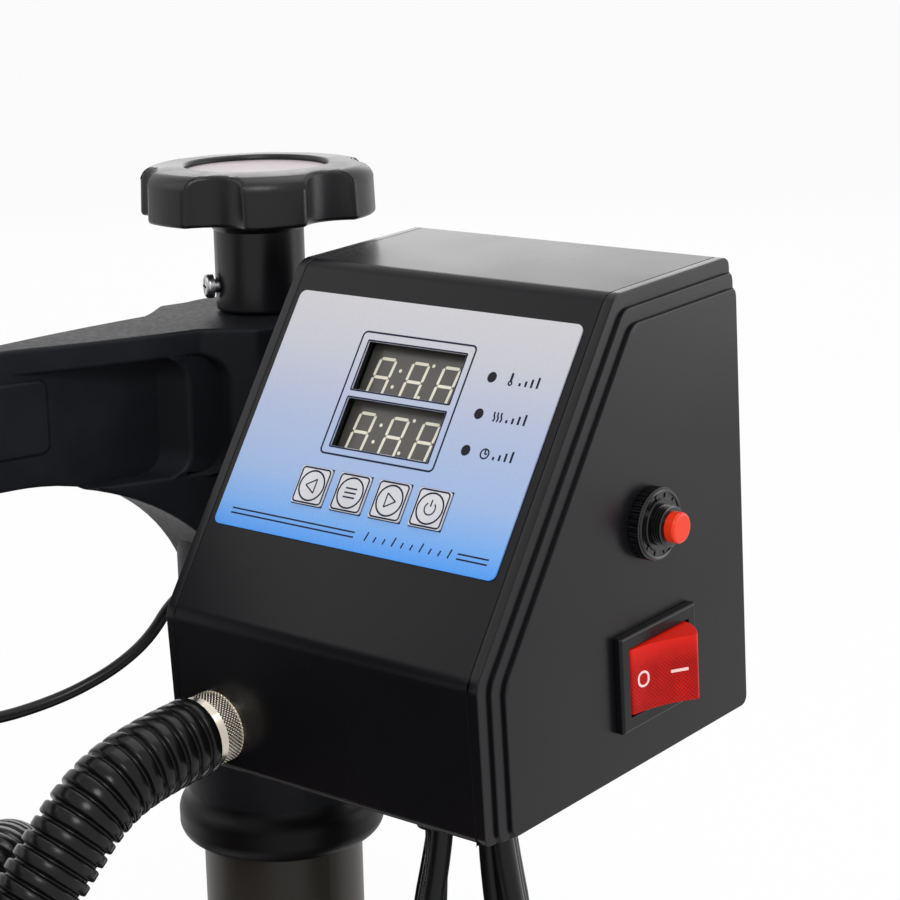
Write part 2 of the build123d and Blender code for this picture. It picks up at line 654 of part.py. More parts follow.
def swing_arm():
    """The casting: sleeve, arm and forked head."""
    throat_z = ARM_BOTTOM - THROAT_DROP
    arm = extrude(Pos(0, 0, throat_z) * lower_plan(), ARM_TOP - throat_z)
    arm += extrude(Pos(0, 0, POCKET_BOTTOM) * upper_plan(), ARM_TOP - POCKET_BOTTOM)
    arm = arm & extrude(arm_side(), SHOULDER_HALF + 5, both=True)
    for pocket in (side_pocket(POCKET_REAR, POCKET_STEP_HALF, FLARE_END),
                   side_pocket(POCKET_STEP, WEB_HALF, FLARE_END)):
        arm -= pocket
        arm -= mirror(pocket, about=Plane.YZ)
    badge_z = (ARM_TOP + ARM_BOTTOM - BADGE_HEIGHT) / 2
    badge = block((-WEB_HALF - BADGE_THICKNESS, WEB_HALF + BADGE_THICKNESS),
                  (-BADGE_START - BADGE_LENGTH, -BADGE_START), (badge_z, badge_z + BADGE_HEIGHT))
    arm += fillet(badge.edges().filter_by(Axis.X), 3)
    arm += rod("Z", SLEEVE_RADIUS, (SLEEVE_BOTTOM, ARM_TOP), (0, 0))
    head = block((-HEAD_HALF, HEAD_HALF), (HEAD_NOSE, HEAD_REAR), (HEAD_BOTTOM, ARM_TOP))
    head = fillet(head.edges().filter_by(Axis.X).group_by(Axis.Y)[0], 12)
    head -= block((-FORK_GAP_HALF, FORK_GAP_HALF), (HEAD_NOSE - 1, HEAD_REAR - HEAD_BACK_WALL),
                  (HEAD_BOTTOM - 1, ARM_TOP + 1))
    for side in (-1, 1):
        wing = sorted((side * (FORK_GAP_HALF + 4), side * ROD_X))
        head += block(wing, about(-ARM_REACH, BOSS_RIB_HALF), (BOSS_RIB_BOTTOM, BOSS_TOP))
        head += rod("Z", BOSS_RADIUS, (BOSS_BOTTOM, BOSS_TOP), (side * ROD_X, -ARM_REACH))
    arm += head
    for side in (-1, 1):
        bore = ROD_RADIUS + RUNNING_FIT + GUIDE_BUSH_WALL
        arm -= rod("Z", bore, (BOSS_BOTTOM, BOSS_TOP), (side * ROD_X, -ARM_REACH))
    arm -= rod("Z", BUSH_OUTER, (SLEEVE_BOTTOM, ARM_TOP - ARM_ROOF), (0, 0))
    arm -= rod("Z", SCREW_RADIUS + RUNNING_FIT, (ARM_TOP - ARM_ROOF, ARM_TOP), (0, 0))
    return arm - rod("X", PIVOT_PIN_RADIUS, (-HEAD_HALF, HEAD_HALF), (-ARM_REACH, PIVOT_HEIGHT))


def sleeve_bushes():
    inner = POST_RADIUS + RUNNING_FIT
    return [ring(BUSH_OUTER, inner, (bottom, bottom + BUSH_LENGTH)) for bottom in SLEEVE_BUSH_BOTTOMS]


def sleeve_collar():
    """The ring round the foot of the sleeve, which wipes the post."""
    wiper = POST_RADIUS + LOOSE_FIT
    with BuildSketch(Plane.XZ) as profile:
        with BuildLine():
            Line((SLEEVE_RADIUS, SLEEVE_BOTTOM), (SLEEVE_RADIUS, COLLAR_TOP))
            ThreePointArc((SLEEVE_RADIUS, COLLAR_TOP), (SLEEVE_RADIUS + 0.6, COLLAR_TOP - 2.2),
                          (SLEEVE_RADIUS + 2, COLLAR_TOP - 4))
            ThreePointArc((SLEEVE_RADIUS + 2, COLLAR_TOP - 4), (COLLAR_RADIUS - 0.2, COLLAR_TOP - 5.8),
                          (COLLAR_RADIUS, COLLAR_TOP - 8))
            Line((COLLAR_RADIUS, COLLAR_TOP - 8), (COLLAR_RADIUS, COLLAR_BOTTOM + 5))
            ThreePointArc((COLLAR_RADIUS, COLLAR_BOTTOM + 5), (COLLAR_RADIUS - 1.7, COLLAR_BOTTOM + 1.6),
                          (wiper + 0.7, COLLAR_BOTTOM))
            Polyline((wiper + 0.7, COLLAR_BOTTOM), (wiper, COLLAR_BOTTOM), (wiper, SLEEVE_BOTTOM),
                     (SLEEVE_RADIUS, SLEEVE_BOTTOM))
        make_face()
    return revolve(profile.sketch, Axis.Z)


def guide_bushes():
    inner = ROD_RADIUS + RUNNING_FIT
    return [ring(inner + GUIDE_BUSH_WALL, inner, (BOSS_BOTTOM, BOSS_TOP), (side * ROD_X, -ARM_REACH))
            for side in (-1, 1)]


def pivot_pin():
    pin = rod("X", PIVOT_PIN_RADIUS, (-HEAD_HALF - 3, HEAD_HALF + 3), (-ARM_REACH, PIVOT_HEIGHT))
    return chamfer(pin.edges().filter_by(GeomType.CIRCLE), 1.5)


def limit_switch():
    """The small switch under the head's rear wall, which the sensor cable goes to."""
    return block((-5, 15), (HEAD_REAR - HEAD_BACK_WALL + 1, HEAD_REAR + 3), (HEAD_BOTTOM - 10, HEAD_BOTTOM))


save("swing_arm", MACHINE * swing_arm())
save("sleeve_bushes", *[MACHINE * bush for bush in sleeve_bushes()])
save("sleeve_collar", MACHINE * sleeve_collar())
save("guide_bushes", *[MACHINE * bush for bush in guide_bushes()])
save("pivot_pin", MACHINE * pivot_pin())
save("limit_switch", MACHINE * limit_switch())


# Heated platen

HEATER_Z = HEATED_TOP


def heater_path():
    points = [(-HEATER_HALF_WIDTH, PLATEN_Y + HEATER_HALF_DEPTH + 25, HEATER_Z),
              (-HEATER_HALF_WIDTH, PLATEN_Y - HEATER_HALF_DEPTH, HEATER_Z),
              (HEATER_HALF_WIDTH, PLATEN_Y - HEATER_HALF_DEPTH, HEATER_Z),
              (HEATER_HALF_WIDTH, PLATEN_Y + HEATER_HALF_DEPTH + 25, HEATER_Z)]
    return FilletPolyline(*points, radius=HEATER_BEND)


STUDS = corners(STUD_X, STUD_Y, (0, PLATEN_Y))


def heater_element():
    return tube(heater_path(), HEATER_RADIUS, "heater element")


def heated_platen(heater):
    platen = plate(PLATEN_LENGTH, PLATEN_DEPTH, PLATEN_CORNER, (HEATED_BOTTOM, HEATED_TOP), (0, PLATEN_Y))
    return platen - heater


def insulation_board():
    bottom = HEATER_Z + HEATER_RADIUS
    board = plate(PLATEN_LENGTH - 2 * INSULATION_MARGIN, PLATEN_DEPTH - 2 * INSULATION_MARGIN, PLATEN_CORNER,
                  (bottom, bottom + INSULATION_THICKNESS), (0, PLATEN_Y))
    for x, y in STUDS:
        board -= rod("Z", STUD_RADIUS + LOOSE_FIT, (bottom, bottom + INSULATION_THICKNESS), (x, y))
    return board


def platen_studs():
    return [rod("Z", STUD_RADIUS, (HEATED_TOP, COVER_TOP - COVER_WALL), at)
            - rod("Z", PLATEN_SCREW_RADIUS, (COVER_TOP - COVER_WALL - 10, COVER_TOP - COVER_WALL), at)
            for at in STUDS]


PLATEN_FITTING_X = 46.0
PLATEN_FITTING_Z = COVER_TOP - 12.5
COVER_SCREW_Z = HEATED_BOTTOM + 9.0


def platen_cover():
    bottom = COVER_TOP - COVER_HEIGHT
    size = (2 * COVER_HALF_LENGTH, 2 * COVER_HALF_DEPTH)
    cover = plate(*size, PLATEN_CORNER + 2, (bottom, COVER_TOP), (0, PLATEN_Y))
    cover = fillet(cover.faces().sort_by(Axis.Z)[-1].edges(), 1.5)
    cover -= plate(size[0] - 2 * COVER_WALL, size[1] - 2 * COVER_WALL, PLATEN_CORNER + 0.5,
                   (bottom, COVER_TOP - COVER_WALL), (0, PLATEN_Y))
    for x, y in STUDS:
        cover -= rod("Z", PLATEN_SCREW_RADIUS, (COVER_TOP - COVER_WALL, COVER_TOP), (x, y))
    rear = PLATEN_Y + COVER_HALF_DEPTH
    cover -= rod("Y", FITTING_NECK_RADIUS, (rear - COVER_WALL, rear), (PLATEN_FITTING_X, PLATEN_FITTING_Z))
    for y in (PLATEN_Y - 80, PLATEN_Y + 80):
        cover -= rod("X", 2, (-COVER_HALF_LENGTH, COVER_HALF_LENGTH), (y, COVER_SCREW_Z))
    return cover


def cover_screws():
    """Screws through the sides of the cover, which clamp it with a spacer against the platen's edge."""
    screws = []
    for y in (PLATEN_Y - 80, PLATEN_Y + 80):
        screw = pan_screw(2, 4, COVER_WALL + COVER_SIDE_GAP, 2.4)
        screws.append(Pos(COVER_HALF_LENGTH, y, COVER_SCREW_Z) * Rot(0, 90, 0) * screw)
        screws.append(Pos(-COVER_HALF_LENGTH, y, COVER_SCREW_Z) * Rot(0, -90, 0) * screw)
    return screws


def link_bracket():
    """The base plate on the cover with the two cheeks that hold the lower pins."""
    top = COVER_TOP + BRACKET_BASE
    bracket = plate(2 * BRACKET_HALF_WIDTH, 2 * BRACKET_HALF_DEPTH, 8, (COVER_TOP, top), (0, PLATEN_Y))
    for side in (-1, 1):
        x = sorted((side * CRANK_INNER_HALF, side * CRANK_OUTER_HALF))
        bracket += block(x, about(PLATEN_Y, BRACKET_CHEEK_RADIUS), (top, LOWER_PIN_Z))
        bracket += rod("X", BRACKET_CHEEK_RADIUS, x, (PLATEN_Y, LOWER_PIN_Z))
        bracket -= rod("X", LINK_PIN_RADIUS, x, (PLATEN_Y, LOWER_PIN_Z))
        bracket -= rod("Z", ROD_RADIUS, (COVER_TOP, top), (side * ROD_X, PLATEN_Y))
    for x, y in STUDS:
        bracket -= rod("Z", PLATEN_SCREW_RADIUS, (COVER_TOP, top), (x, y))
    return bracket


def lower_pins():
    """The two halves of the lower pin, each in its own cheek."""
    pins = []
    for side in (-1, 1):
        pin = rod("X", LINK_PIN_RADIUS, sorted((side * LOWER_PIN_END_HALF, side * CRANK_OUTER_HALF)),
                  (PLATEN_Y, LOWER_PIN_Z))
        head_x = sorted((side * CRANK_OUTER_HALF, side * (CRANK_OUTER_HALF + LOWER_PIN_HEAD_THICKNESS)))
        pins.append(pin + rod("X", LOWER_PIN_HEAD, head_x, (PLATEN_Y, LOWER_PIN_Z)))
    return pins


def bracket_bolts():
    bolt = pan_screw(PLATEN_SCREW_RADIUS, 2 * PLATEN_SCREW_RADIUS - 0.5, BRACKET_BASE + COVER_WALL + 10, 4)
    return [Pos(x, y, COVER_TOP + BRACKET_BASE) * bolt for x, y in STUDS]


def guide_rods():
    top = BOX_FOOT_HEIGHT + ROD_TOP
    rods = []
    for side in (-1, 1):
        guide = rod("Z", ROD_RADIUS, (COVER_TOP, top), (side * ROD_X, PLATEN_Y))
        rods.append(chamfer(guide.edges().group_by(Axis.Z)[-1], 1.5))
    return rods


def hose_fitting():
    """A conduit nut, its seat on the XY plane and its neck through the wall: rim, band, rim and cone."""
    nut = rod("Z", FITTING_RADIUS, (0, FITTING_RIM), (0, 0))
    nut += rod("Z", FITTING_KNURL_RADIUS, (FITTING_RIM, FITTING_LENGTH - 2 * FITTING_RIM), (0, 0))
    cone_bottom = FITTING_LENGTH - 2 * FITTING_RIM
    nut += Pos(0, 0, cone_bottom) * Cone(FITTING_RADIUS, FITTING_RADIUS - FITTING_RIM, 2 * FITTING_RIM,
                                         align=(Align.CENTER, Align.CENTER, Align.MIN))
    nut += rod("Z", FITTING_NECK_RADIUS, (-SHELL_WALL - 4, 0), (0, 0))
    return nut - rod("Z", HOSE_BORE - 1.6, (-SHELL_WALL - 4, FITTING_LENGTH), (0, 0))


def platen_hose_fitting():
    seat = Pos(PLATEN_FITTING_X, PLATEN_Y + COVER_HALF_DEPTH, PLATEN_FITTING_Z)
    return seat * Rot(-90, 0, 0) * hose_fitting()


heater = heater_element()
save("heater_element", heater)
save("heated_platen", heated_platen(heater))
save("insulation_board", insulation_board())
save("platen_studs", *platen_studs())
save("platen_cover", platen_cover())
save("platen_screws", *cover_screws(), *bracket_bolts())
save("link_bracket", link_bracket())
save("lower_pins", *lower_pins())
save("guide_rods", *guide_rods())
save("platen_hose_fitting", platen_hose_fitting())


# Handle and toggle link

def eye_bar(start, end, radii, x):
    """A bar with round ends between two points in the Y, Z plane."""
    centre = ((start[0] + end[0]) / 2, (start[1] + end[1]) / 2)
    length = math.hypot(end[0] - start[0], end[1] - start[1])
    turn = math.degrees(math.atan2(end[1] - start[1], end[0] - start[0]))
    width = 2 * min(radii) * 0.8
    bar = Pos((x[0] + x[1]) / 2, centre[0], centre[1]) * Rot(turn, 0, 0) * Box(x[1] - x[0], length, width)
    return bar + rod("X", radii[0], x, start) + rod("X", radii[1], x, end)


def handle_lever():
    """The hub, the crank cheeks and the long lever."""
    pivot = (PLATEN_Y, PIVOT_Z)
    pin = (CRANK_PIN_Y, CRANK_PIN_Z)
    lever = rod("X", HUB_RADIUS, (-HUB_HALF, HUB_HALF), pivot)
    for side in (-1, 1):
        x = sorted((side * CRANK_INNER_HALF, side * CRANK_OUTER_HALF))
        lever += eye_bar(pivot, pin, (HUB_RADIUS, CRANK_EYE_RADIUS), x)
    leaning = Pos(0, PLATEN_Y, PIVOT_Z) * Rot(-HANDLE_LEAN, 0, 0)
    bar = leaning * rod("Z", LEVER_RADIUS, (0, LEVER_LENGTH), (0, 0))
    lever += bar
    lever -= rod("X", PIVOT_PIN_RADIUS + RUNNING_FIT, (-HUB_HALF, HUB_HALF), pivot)
    return lever - rod("X", LINK_PIN_RADIUS, (-CRANK_OUTER_HALF, CRANK_OUTER_HALF), pin)


def handle_grip():
    grip = rod("Z", GRIP_RADIUS, (LEVER_LENGTH - GRIP_LENGTH, LEVER_LENGTH + 5), (0, 0))
    grip = fillet(grip.edges().filter_by(GeomType.CIRCLE), 5)
    grip -= rod("Z", LEVER_RADIUS, (LEVER_LENGTH - GRIP_LENGTH, LEVER_LENGTH), (0, 0))
    return Pos(0, PLATEN_Y, PIVOT_Z) * Rot(-HANDLE_LEAN, 0, 0) * grip


def crank_pin():
    half = CRANK_OUTER_HALF + 0.5
    return rod("X", LINK_PIN_RADIUS, (-half, half), (CRANK_PIN_Y, CRANK_PIN_Z))


def toggle_link():
    x = (-LINK_HALF, LINK_HALF)
    lower = (PLATEN_Y, LOWER_PIN_Z)
    link = eye_bar((CRANK_PIN_Y, CRANK_PIN_Z), lower, (LINK_EYE_RADIUS, LINK_EYE_RADIUS), x)
    link -= rod("X", LINK_PIN_RADIUS + RUNNING_FIT, x, (CRANK_PIN_Y, CRANK_PIN_Z))
    return link - rod("X", LINK_PIN_RADIUS + RUNNING_FIT, x, lower)


save("handle_lever", handle_lever())
save("handle_grip", handle_grip())
save("crank_pin", crank_pin())
save("toggle_link", toggle_link())


# Control box

def box_outline(inset):
    """The box seen from its side, drawn in by an even margin."""
    knee = math.radians(90 - SLOPE_ANGLE)
    lift = inset * math.tan(knee / 2)
    crown = inset * math.tan((math.pi / 2 - knee) / 2)
    return [(inset, 0), (BOX_DEPTH - inset, 0), (BOX_DEPTH - inset, BOX_HEIGHT - inset),
            (BOX_TOP_SETBACK + crown, BOX_HEIGHT - inset), (inset, BOX_FRONT_HEIGHT - lift)]


def closed_outline(inset):
    """The same outline, drawn in at the bottom too."""
    points = box_outline(inset)
    return [(points[0][0], inset), (points[1][0], inset)] + points[2:]


def panel_holes(depth):
    """Everything that opens the sloping front: windows, key plungers and lamps, in the panel's frame."""
    holes = []
    for bottom in WINDOW_BOTTOMS:
        window_x = (WINDOW_LEFT, WINDOW_LEFT + WINDOW_WIDTH)
        holes.append(block(window_x, (bottom, bottom + WINDOW_HEIGHT), depth))
    for height in LAMP_HEIGHTS:
        holes.append(rod("Z", LAMP_RADIUS + RUNNING_FIT, depth, (LAMP_X, height)))
    return holes


def key_x(index):
    return KEY_FIRST_X + index * KEY_PITCH


def box_shell():
    """The folded front, top, back and bottom."""
    x = (CAP_THICKNESS, BOX_WIDTH - CAP_THICKNESS)
    shell = side_prism(box_outline(0), x) - side_prism(closed_outline(SHELL_WALL), x)
    to_box = Pos(0, 0, BOX_FRONT_HEIGHT) * Rot(SLOPE_ANGLE, 0, 0)
    depth = (-2 * SHELL_WALL, 1)
    for hole in panel_holes(depth):
        shell -= to_box * hole
    for index in range(KEY_COUNT):
        shell -= to_box * rod("Z", KEY_PLUNGER_RADIUS + LOOSE_FIT, depth, (key_x(index), KEY_HEIGHT))
    shell -= rod("Y", FITTING_NECK_RADIUS, (-1, SHELL_WALL + 1), (FITTING_X, FITTING_Z))
    shell -= rod("Z", GLAND_RADIUS - 2, (-1, SHELL_WALL + 1), (GLAND_X, GLAND_Y))
    for at in BOX_SCREWS:
        shell -= rod("Y", 1.5, (BOX_DEPTH - SHELL_WALL, BOX_DEPTH), at)
    return shell


RIM_MIDDLE = CAP_THICKNESS + CAP_RIM_DEPTH / 2
BOX_SCREWS = [(x, z) for x in (RIM_MIDDLE, BOX_WIDTH - RIM_MIDDLE) for z in (20.0, 100.0)]


def step_outline(inset):
    """The same outline, drawn in along the front, the slope and the top alone."""
    points = box_outline(inset)
    return [points[0], (BOX_DEPTH, 0), (BOX_DEPTH, BOX_HEIGHT - inset)] + points[3:]


def side_cap():
    """The right side cap: a plate with two raised steps and a rim inside the shell."""
    cap = side_prism(box_outline(0), (BOX_WIDTH - CAP_THICKNESS, BOX_WIDTH))
    for step in (1, 2):
        cap += side_prism(step_outline(step * CAP_STEP_IN), (BOX_WIDTH, BOX_WIDTH + step * CAP_STEP_OUT))
    rim_x = (BOX_WIDTH - CAP_THICKNESS - CAP_RIM_DEPTH, BOX_WIDTH - CAP_THICKNESS)
    cap += side_prism(closed_outline(SHELL_WALL), rim_x)
    cap -= side_prism(closed_outline(SHELL_WALL + CAP_RIM_WALL), rim_x)
    for at in BOX_SCREWS[2:]:
        cap -= rod("Y", 1.5, (BOX_DEPTH - SHELL_WALL - 3, BOX_DEPTH - SHELL_WALL), at)
    return cap


def to_left(shape):
    """The mirror image of a right side piece, on the left side of the box."""
    return Pos(BOX_WIDTH, 0, 0) * mirror(shape, about=Plane.YZ)


CAP_SCREWS = [(y, z) for y in (BRACKET_Y[0] + 8, BRACKET_Y[1] - 8)
              for z in (BRACKET_Z[0] + 10, BRACKET_Z[1] - 10)]
SWITCH_HALF_Y = BEZEL_LENGTH / 2 - 2.4
SWITCH_HALF_Z = BEZEL_HEIGHT / 2 - 1.2


def side_cap_right():
    cap = side_cap()
    x = (BOX_WIDTH - CAP_THICKNESS - CAP_RIM_DEPTH, CAP_FACE)
    cap -= block(x, about(ROCKER_Y, SWITCH_HALF_Y), about(ROCKER_Z, SWITCH_HALF_Z))
    return cap - rod("X", BREAKER_NECK_RADIUS, x, (BREAKER_Y, BREAKER_Z))


def side_cap_left():
    cap = to_left(side_cap())
    for at in CAP_SCREWS:
        cap -= rod("X", 2.5, (-2 * CAP_STEP_OUT, CAP_THICKNESS), at)
    return cap - rod("X", 3.0, (-2 * CAP_STEP_OUT, CAP_THICKNESS), (GROMMET_Y, GROMMET_Z))


def box_bracket():
    """The plate on the box's left cap with the saddle that is welded to the sleeve."""
    face = -2 * CAP_STEP_OUT
    bracket = block((face - BRACKET_PLATE, face), BRACKET_Y, BRACKET_Z)
    bracket += block((-20, face - BRACKET_PLATE), (BRACKET_Y[0] + 2, BRACKET_Y[1] - 2),
                     (BRACKET_Z[0] + 4, BRACKET_Z[1] - 4))
    for at in CAP_SCREWS:
        bracket -= rod("X", 2.5, (face - BRACKET_PLATE - 3, face), at)
    sleeve = rod("Z", SLEEVE_RADIUS, (SLEEVE_BOTTOM, ARM_TOP), (0, 0))
    shoulder = block((-SHOULDER_HALF, SHOULDER_HALF), (-SHOULDER_END, 0), (ARM_BOTTOM - THROAT_DROP, ARM_TOP))
    return BOX * bracket - MACHINE * sleeve - MACHINE * shoulder


def bracket_screws():
    """Screws from inside the box through its left cap into the bracket."""
    screw = Rot(0, 90, 0) * pan_screw(2.5, 4.5, CAP_THICKNESS + 2 * CAP_STEP_OUT + BRACKET_PLATE + 2.5, 3)
    return [Pos(CAP_THICKNESS, *at) * screw for at in CAP_SCREWS]


def box_screws():
    screw = Rot(-90, 0, 0) * pan_screw(1.5, 2.8, SHELL_WALL + 3, 1.8)
    return [Pos(at[0], BOX_DEPTH, at[1]) * screw for at in BOX_SCREWS]


def panel_label():
    width = LABEL_RIGHT - LABEL_LEFT
    height = LABEL_TOP - LABEL_BOTTOM
    middle = (LABEL_LEFT + width / 2, LABEL_BOTTOM + height / 2)
    label = plate(width, height, LABEL_CORNER, (0, LABEL_THICKNESS), middle)
    for hole in panel_holes((-1, LABEL_THICKNESS + 1)):
        label -= hole
    opening = KEY_SIZE / 2 + SEAT_GAP
    for index in range(KEY_COUNT):
        x = key_x(index)
        label -= block(about(x, opening), about(KEY_HEIGHT, opening), (-1, LABEL_THICKNESS + 1))
    return label


def display_modules():
    """The two digit modules behind the windows, resting on the board."""
    front = LABEL_THICKNESS - MODULE_SINK
    width = (WINDOW_LEFT - MODULE_MARGIN, WINDOW_LEFT + WINDOW_WIDTH + MODULE_MARGIN)
    heights = [(bottom - MODULE_MARGIN, bottom + WINDOW_HEIGHT + MODULE_MARGIN) for bottom in WINDOW_BOTTOMS]
    return [block(width, height, (BOARD_FRONT, front)) for height in heights]


def indicator_lamps():
    ends = (BOARD_FRONT, LABEL_THICKNESS - 0.2)
    return [rod("Z", LAMP_RADIUS, ends, (LAMP_X, height)) for height in LAMP_HEIGHTS]


SPACERS = [(x, t) for x in (BOARD_LEFT + SPACER_INSET, BOARD_RIGHT - SPACER_INSET)
           for t in (BOARD_BOTTOM + SPACER_INSET, BOARD_TOP - SPACER_INSET)]


def control_board():
    z = (BOARD_FRONT - BOARD_THICKNESS, BOARD_FRONT)
    board = block((BOARD_LEFT, BOARD_RIGHT), (BOARD_BOTTOM, BOARD_TOP), z)
    for at in SPACERS:
        board -= rod("Z", 1.5, z, at)
    return board


def board_spacers():
    return [rod("Z", SPACER_RADIUS, (BOARD_FRONT, -SHELL_WALL), at) for at in SPACERS]


def key(index):
    """A key cap standing in the label, with its plunger through the shell."""
    x = key_x(index)
    half = KEY_SIZE / 2 - SEAT_GAP
    bottom = KEY_TRAVEL + 0.05
    cap = block(about(x, half), about(KEY_HEIGHT, half), (bottom, bottom + KEY_THICKNESS))
    cap = fillet(cap.edges().filter_by(Axis.Z), 0.8)
    return cap + rod("Z", KEY_PLUNGER_RADIUS, (bottom - KEY_PLUNGER_LENGTH, bottom), (x, KEY_HEIGHT))


def key_switches():
    """The switches on the board, each with its stem just under a plunger."""
    stem_top = KEY_TRAVEL + 0.05 - KEY_PLUNGER_LENGTH - KEY_TRAVEL - SEAT_GAP
    switches = []
    for index in range(KEY_COUNT):
        x = key_x(index)
        half = SWITCH_SIZE / 2
        body = block(about(x, half), about(KEY_HEIGHT, half), (BOARD_FRONT, BOARD_FRONT + SWITCH_HEIGHT))
        switches.append(body + rod("Z", 1.7, (BOARD_FRONT + SWITCH_HEIGHT, stem_top), (x, KEY_HEIGHT)))
    return switches


def transformer():
    return block((10, 42), (BOX_DEPTH - 50, BOX_DEPTH - 10), (SHELL_WALL, SHELL_WALL + 34))


def relay():
    return block((56, 84), (BOX_DEPTH - 22, BOX_DEPTH - 10), (SHELL_WALL, SHELL_WALL + 15))


def terminal_block():
    return block((20, 28), (22, 54), (SHELL_WALL, SHELL_WALL + 12))


def switch_frame():
    """The rocker switch's bezel and housing."""
    bezel_z = about(ROCKER_Z, BEZEL_HEIGHT / 2)
    frame = block((CAP_FACE, BEZEL_FACE), about(ROCKER_Y, BEZEL_LENGTH / 2), bezel_z)
    frame = chamfer(frame.faces().sort_by(Axis.X)[-1].edges(), 0.5)
    body_x = (CAP_FACE - SWITCH_DEPTH, CAP_FACE)
    frame += block(body_x, about(ROCKER_Y, SWITCH_HALF_Y), about(ROCKER_Z, SWITCH_HALF_Z))
    opening_y = ROCKER_RADIUS + LOOSE_FIT
    opening_z = ROCKER_HEIGHT / 2 + LOOSE_FIT
    well_x = (CAP_FACE - ROCKER_WELL, BEZEL_FACE)
    frame -= block(well_x, about(ROCKER_Y, opening_y), about(ROCKER_Z, opening_z))
    pin_ends = about(ROCKER_Z, opening_z + 1.0)
    return frame - rod("Z", ROCKER_PIN_RADIUS + RUNNING_FIT, pin_ends, (ROCKER_AXIS_X, ROCKER_Y))


ROCKER_AXIS_X = CAP_FACE - ROCKER_AXIS_DEPTH


def rocker():
    """The rocker, pressed in at its front end, its ends round its axis and its face slightly hollow."""
    disc = Cylinder(ROCKER_RADIUS, ROCKER_HEIGHT)
    disc &= block((-2.5, ROCKER_FACE), (-ROCKER_RADIUS, ROCKER_RADIUS), (-ROCKER_HEIGHT, ROCKER_HEIGHT))
    hollow = Cylinder(ROCKER_HOLLOW_RADIUS, ROCKER_HEIGHT + 2)
    disc -= Pos(ROCKER_FACE + ROCKER_HOLLOW_RADIUS - ROCKER_HOLLOW, 0, 0) * hollow
    half_pin = ROCKER_HEIGHT / 2 + LOOSE_FIT + 0.9
    disc += rod("Z", ROCKER_PIN_RADIUS, (-half_pin, half_pin), (0, 0))
    return Pos(ROCKER_AXIS_X, ROCKER_Y, ROCKER_Z) * Rot(0, 0, -ROCKER_TILT) * disc


def breaker_body():
    """The breaker inside the box and its neck through the cap."""
    inner = BOX_WIDTH - CAP_THICKNESS
    body = block((inner - 26, inner), about(BREAKER_Y, 8), about(BREAKER_Z, 12))
    body += rod("X", BREAKER_NECK_RADIUS, (inner, CAP_FACE + BREAKER_NECK_OUT), (BREAKER_Y, BREAKER_Z))
    return body - rod("X", BREAKER_BUTTON_RADIUS + RUNNING_FIT, (CAP_FACE - 6, CAP_FACE + BREAKER_NECK_OUT),
                      (BREAKER_Y, BREAKER_Z))


def breaker_nut():
    x = (CAP_FACE, CAP_FACE + BREAKER_NUT_THICKNESS)
    nut = rod("X", BREAKER_NUT_RADIUS, x, (0, 0))
    for notch in range(BREAKER_NUT_NOTCHES):
        turn = Rot(notch * 360 / BREAKER_NUT_NOTCHES, 0, 0)
        nut -= turn * rod("X", 0.5, (x[0], x[1] - 0.6), (BREAKER_NUT_RADIUS, 0))
    nut += rod("X", BREAKER_RING_RADIUS, (x[1], CAP_FACE + BREAKER_RING_OUT), (0, 0))
    nut -= rod("X", BREAKER_NECK_RADIUS, (x[0], CAP_FACE + BREAKER_RING_OUT), (0, 0))
    return Pos(0, BREAKER_Y, BREAKER_Z) * nut


def breaker_button():
    button = rod("X", BREAKER_BUTTON_RADIUS, (CAP_FACE - 6 + SEAT_GAP, CAP_FACE + BREAKER_BUTTON_OUT),
                 (BREAKER_Y, BREAKER_Z))
    return fillet(button.edges().group_by(Axis.X)[-1], 0.8)


def box_hose_fitting():
    return Pos(FITTING_X, 0, FITTING_Z) * Rot(90, 0, 0) * hose_fitting()


def cable_grommet():
    outer = rod("X", 5.0, (-2 * CAP_STEP_OUT - 2, -2 * CAP_STEP_OUT), (GROMMET_Y, GROMMET_Z))
    inner = rod("X", 3.0, (-2 * CAP_STEP_OUT, CAP_THICKNESS), (GROMMET_Y, GROMMET_Z))
    return outer + inner


def mains_gland():
    """The gland in the bottom of the box that holds the mains cord."""
    gland = rod("Z", GLAND_RADIUS, (-GLAND_LENGTH, 0), (GLAND_X, GLAND_Y))
    return gland + rod("Z", GLAND_RADIUS - 2, (0, SHELL_WALL + 2), (GLAND_X, GLAND_Y))


save("box_shell", BOX * box_shell())
save("side_cap_right", BOX * side_cap_right())
save("side_cap_left", BOX * side_cap_left())
save("box_bracket", box_bracket())
save("box_screws", *[BOX * screw for screw in bracket_screws() + box_screws()])
save("panel_label", SLOPE * panel_label())
save("display_modules", *[SLOPE * module for module in display_modules()])
save("indicator_lamps", *[SLOPE * lamp for lamp in indicator_lamps()])
save("control_board", *[SLOPE * piece for piece in [control_board()] + board_spacers() + key_switches()])
for number in range(KEY_COUNT):
    save("key_" + str(number + 1), SLOPE * key(number))
save("power_parts", BOX * transformer(), BOX * relay(), BOX * terminal_block())
save("switch_frame", BOX * switch_frame())
save("rocker", BOX * rocker())
save("breaker_body", BOX * breaker_body())
save("breaker_nut", BOX * breaker_nut())
save("breaker_button", BOX * breaker_button())
save("box_hose_fitting", BOX * box_hose_fitting())
save("cable_glands", BOX * cable_grommet(), BOX * mains_gland())


# Hose, cable and mains cord

def machine_point(x, y, z):
    """A point of a route given from the post's axis and the height of the box."""
    return (x, y + POST_Y, z + BOX_FOOT_HEIGHT)


def place_of(location):
    """The X, Y, Z of a place, as plain numbers."""
    return tuple(location.position)


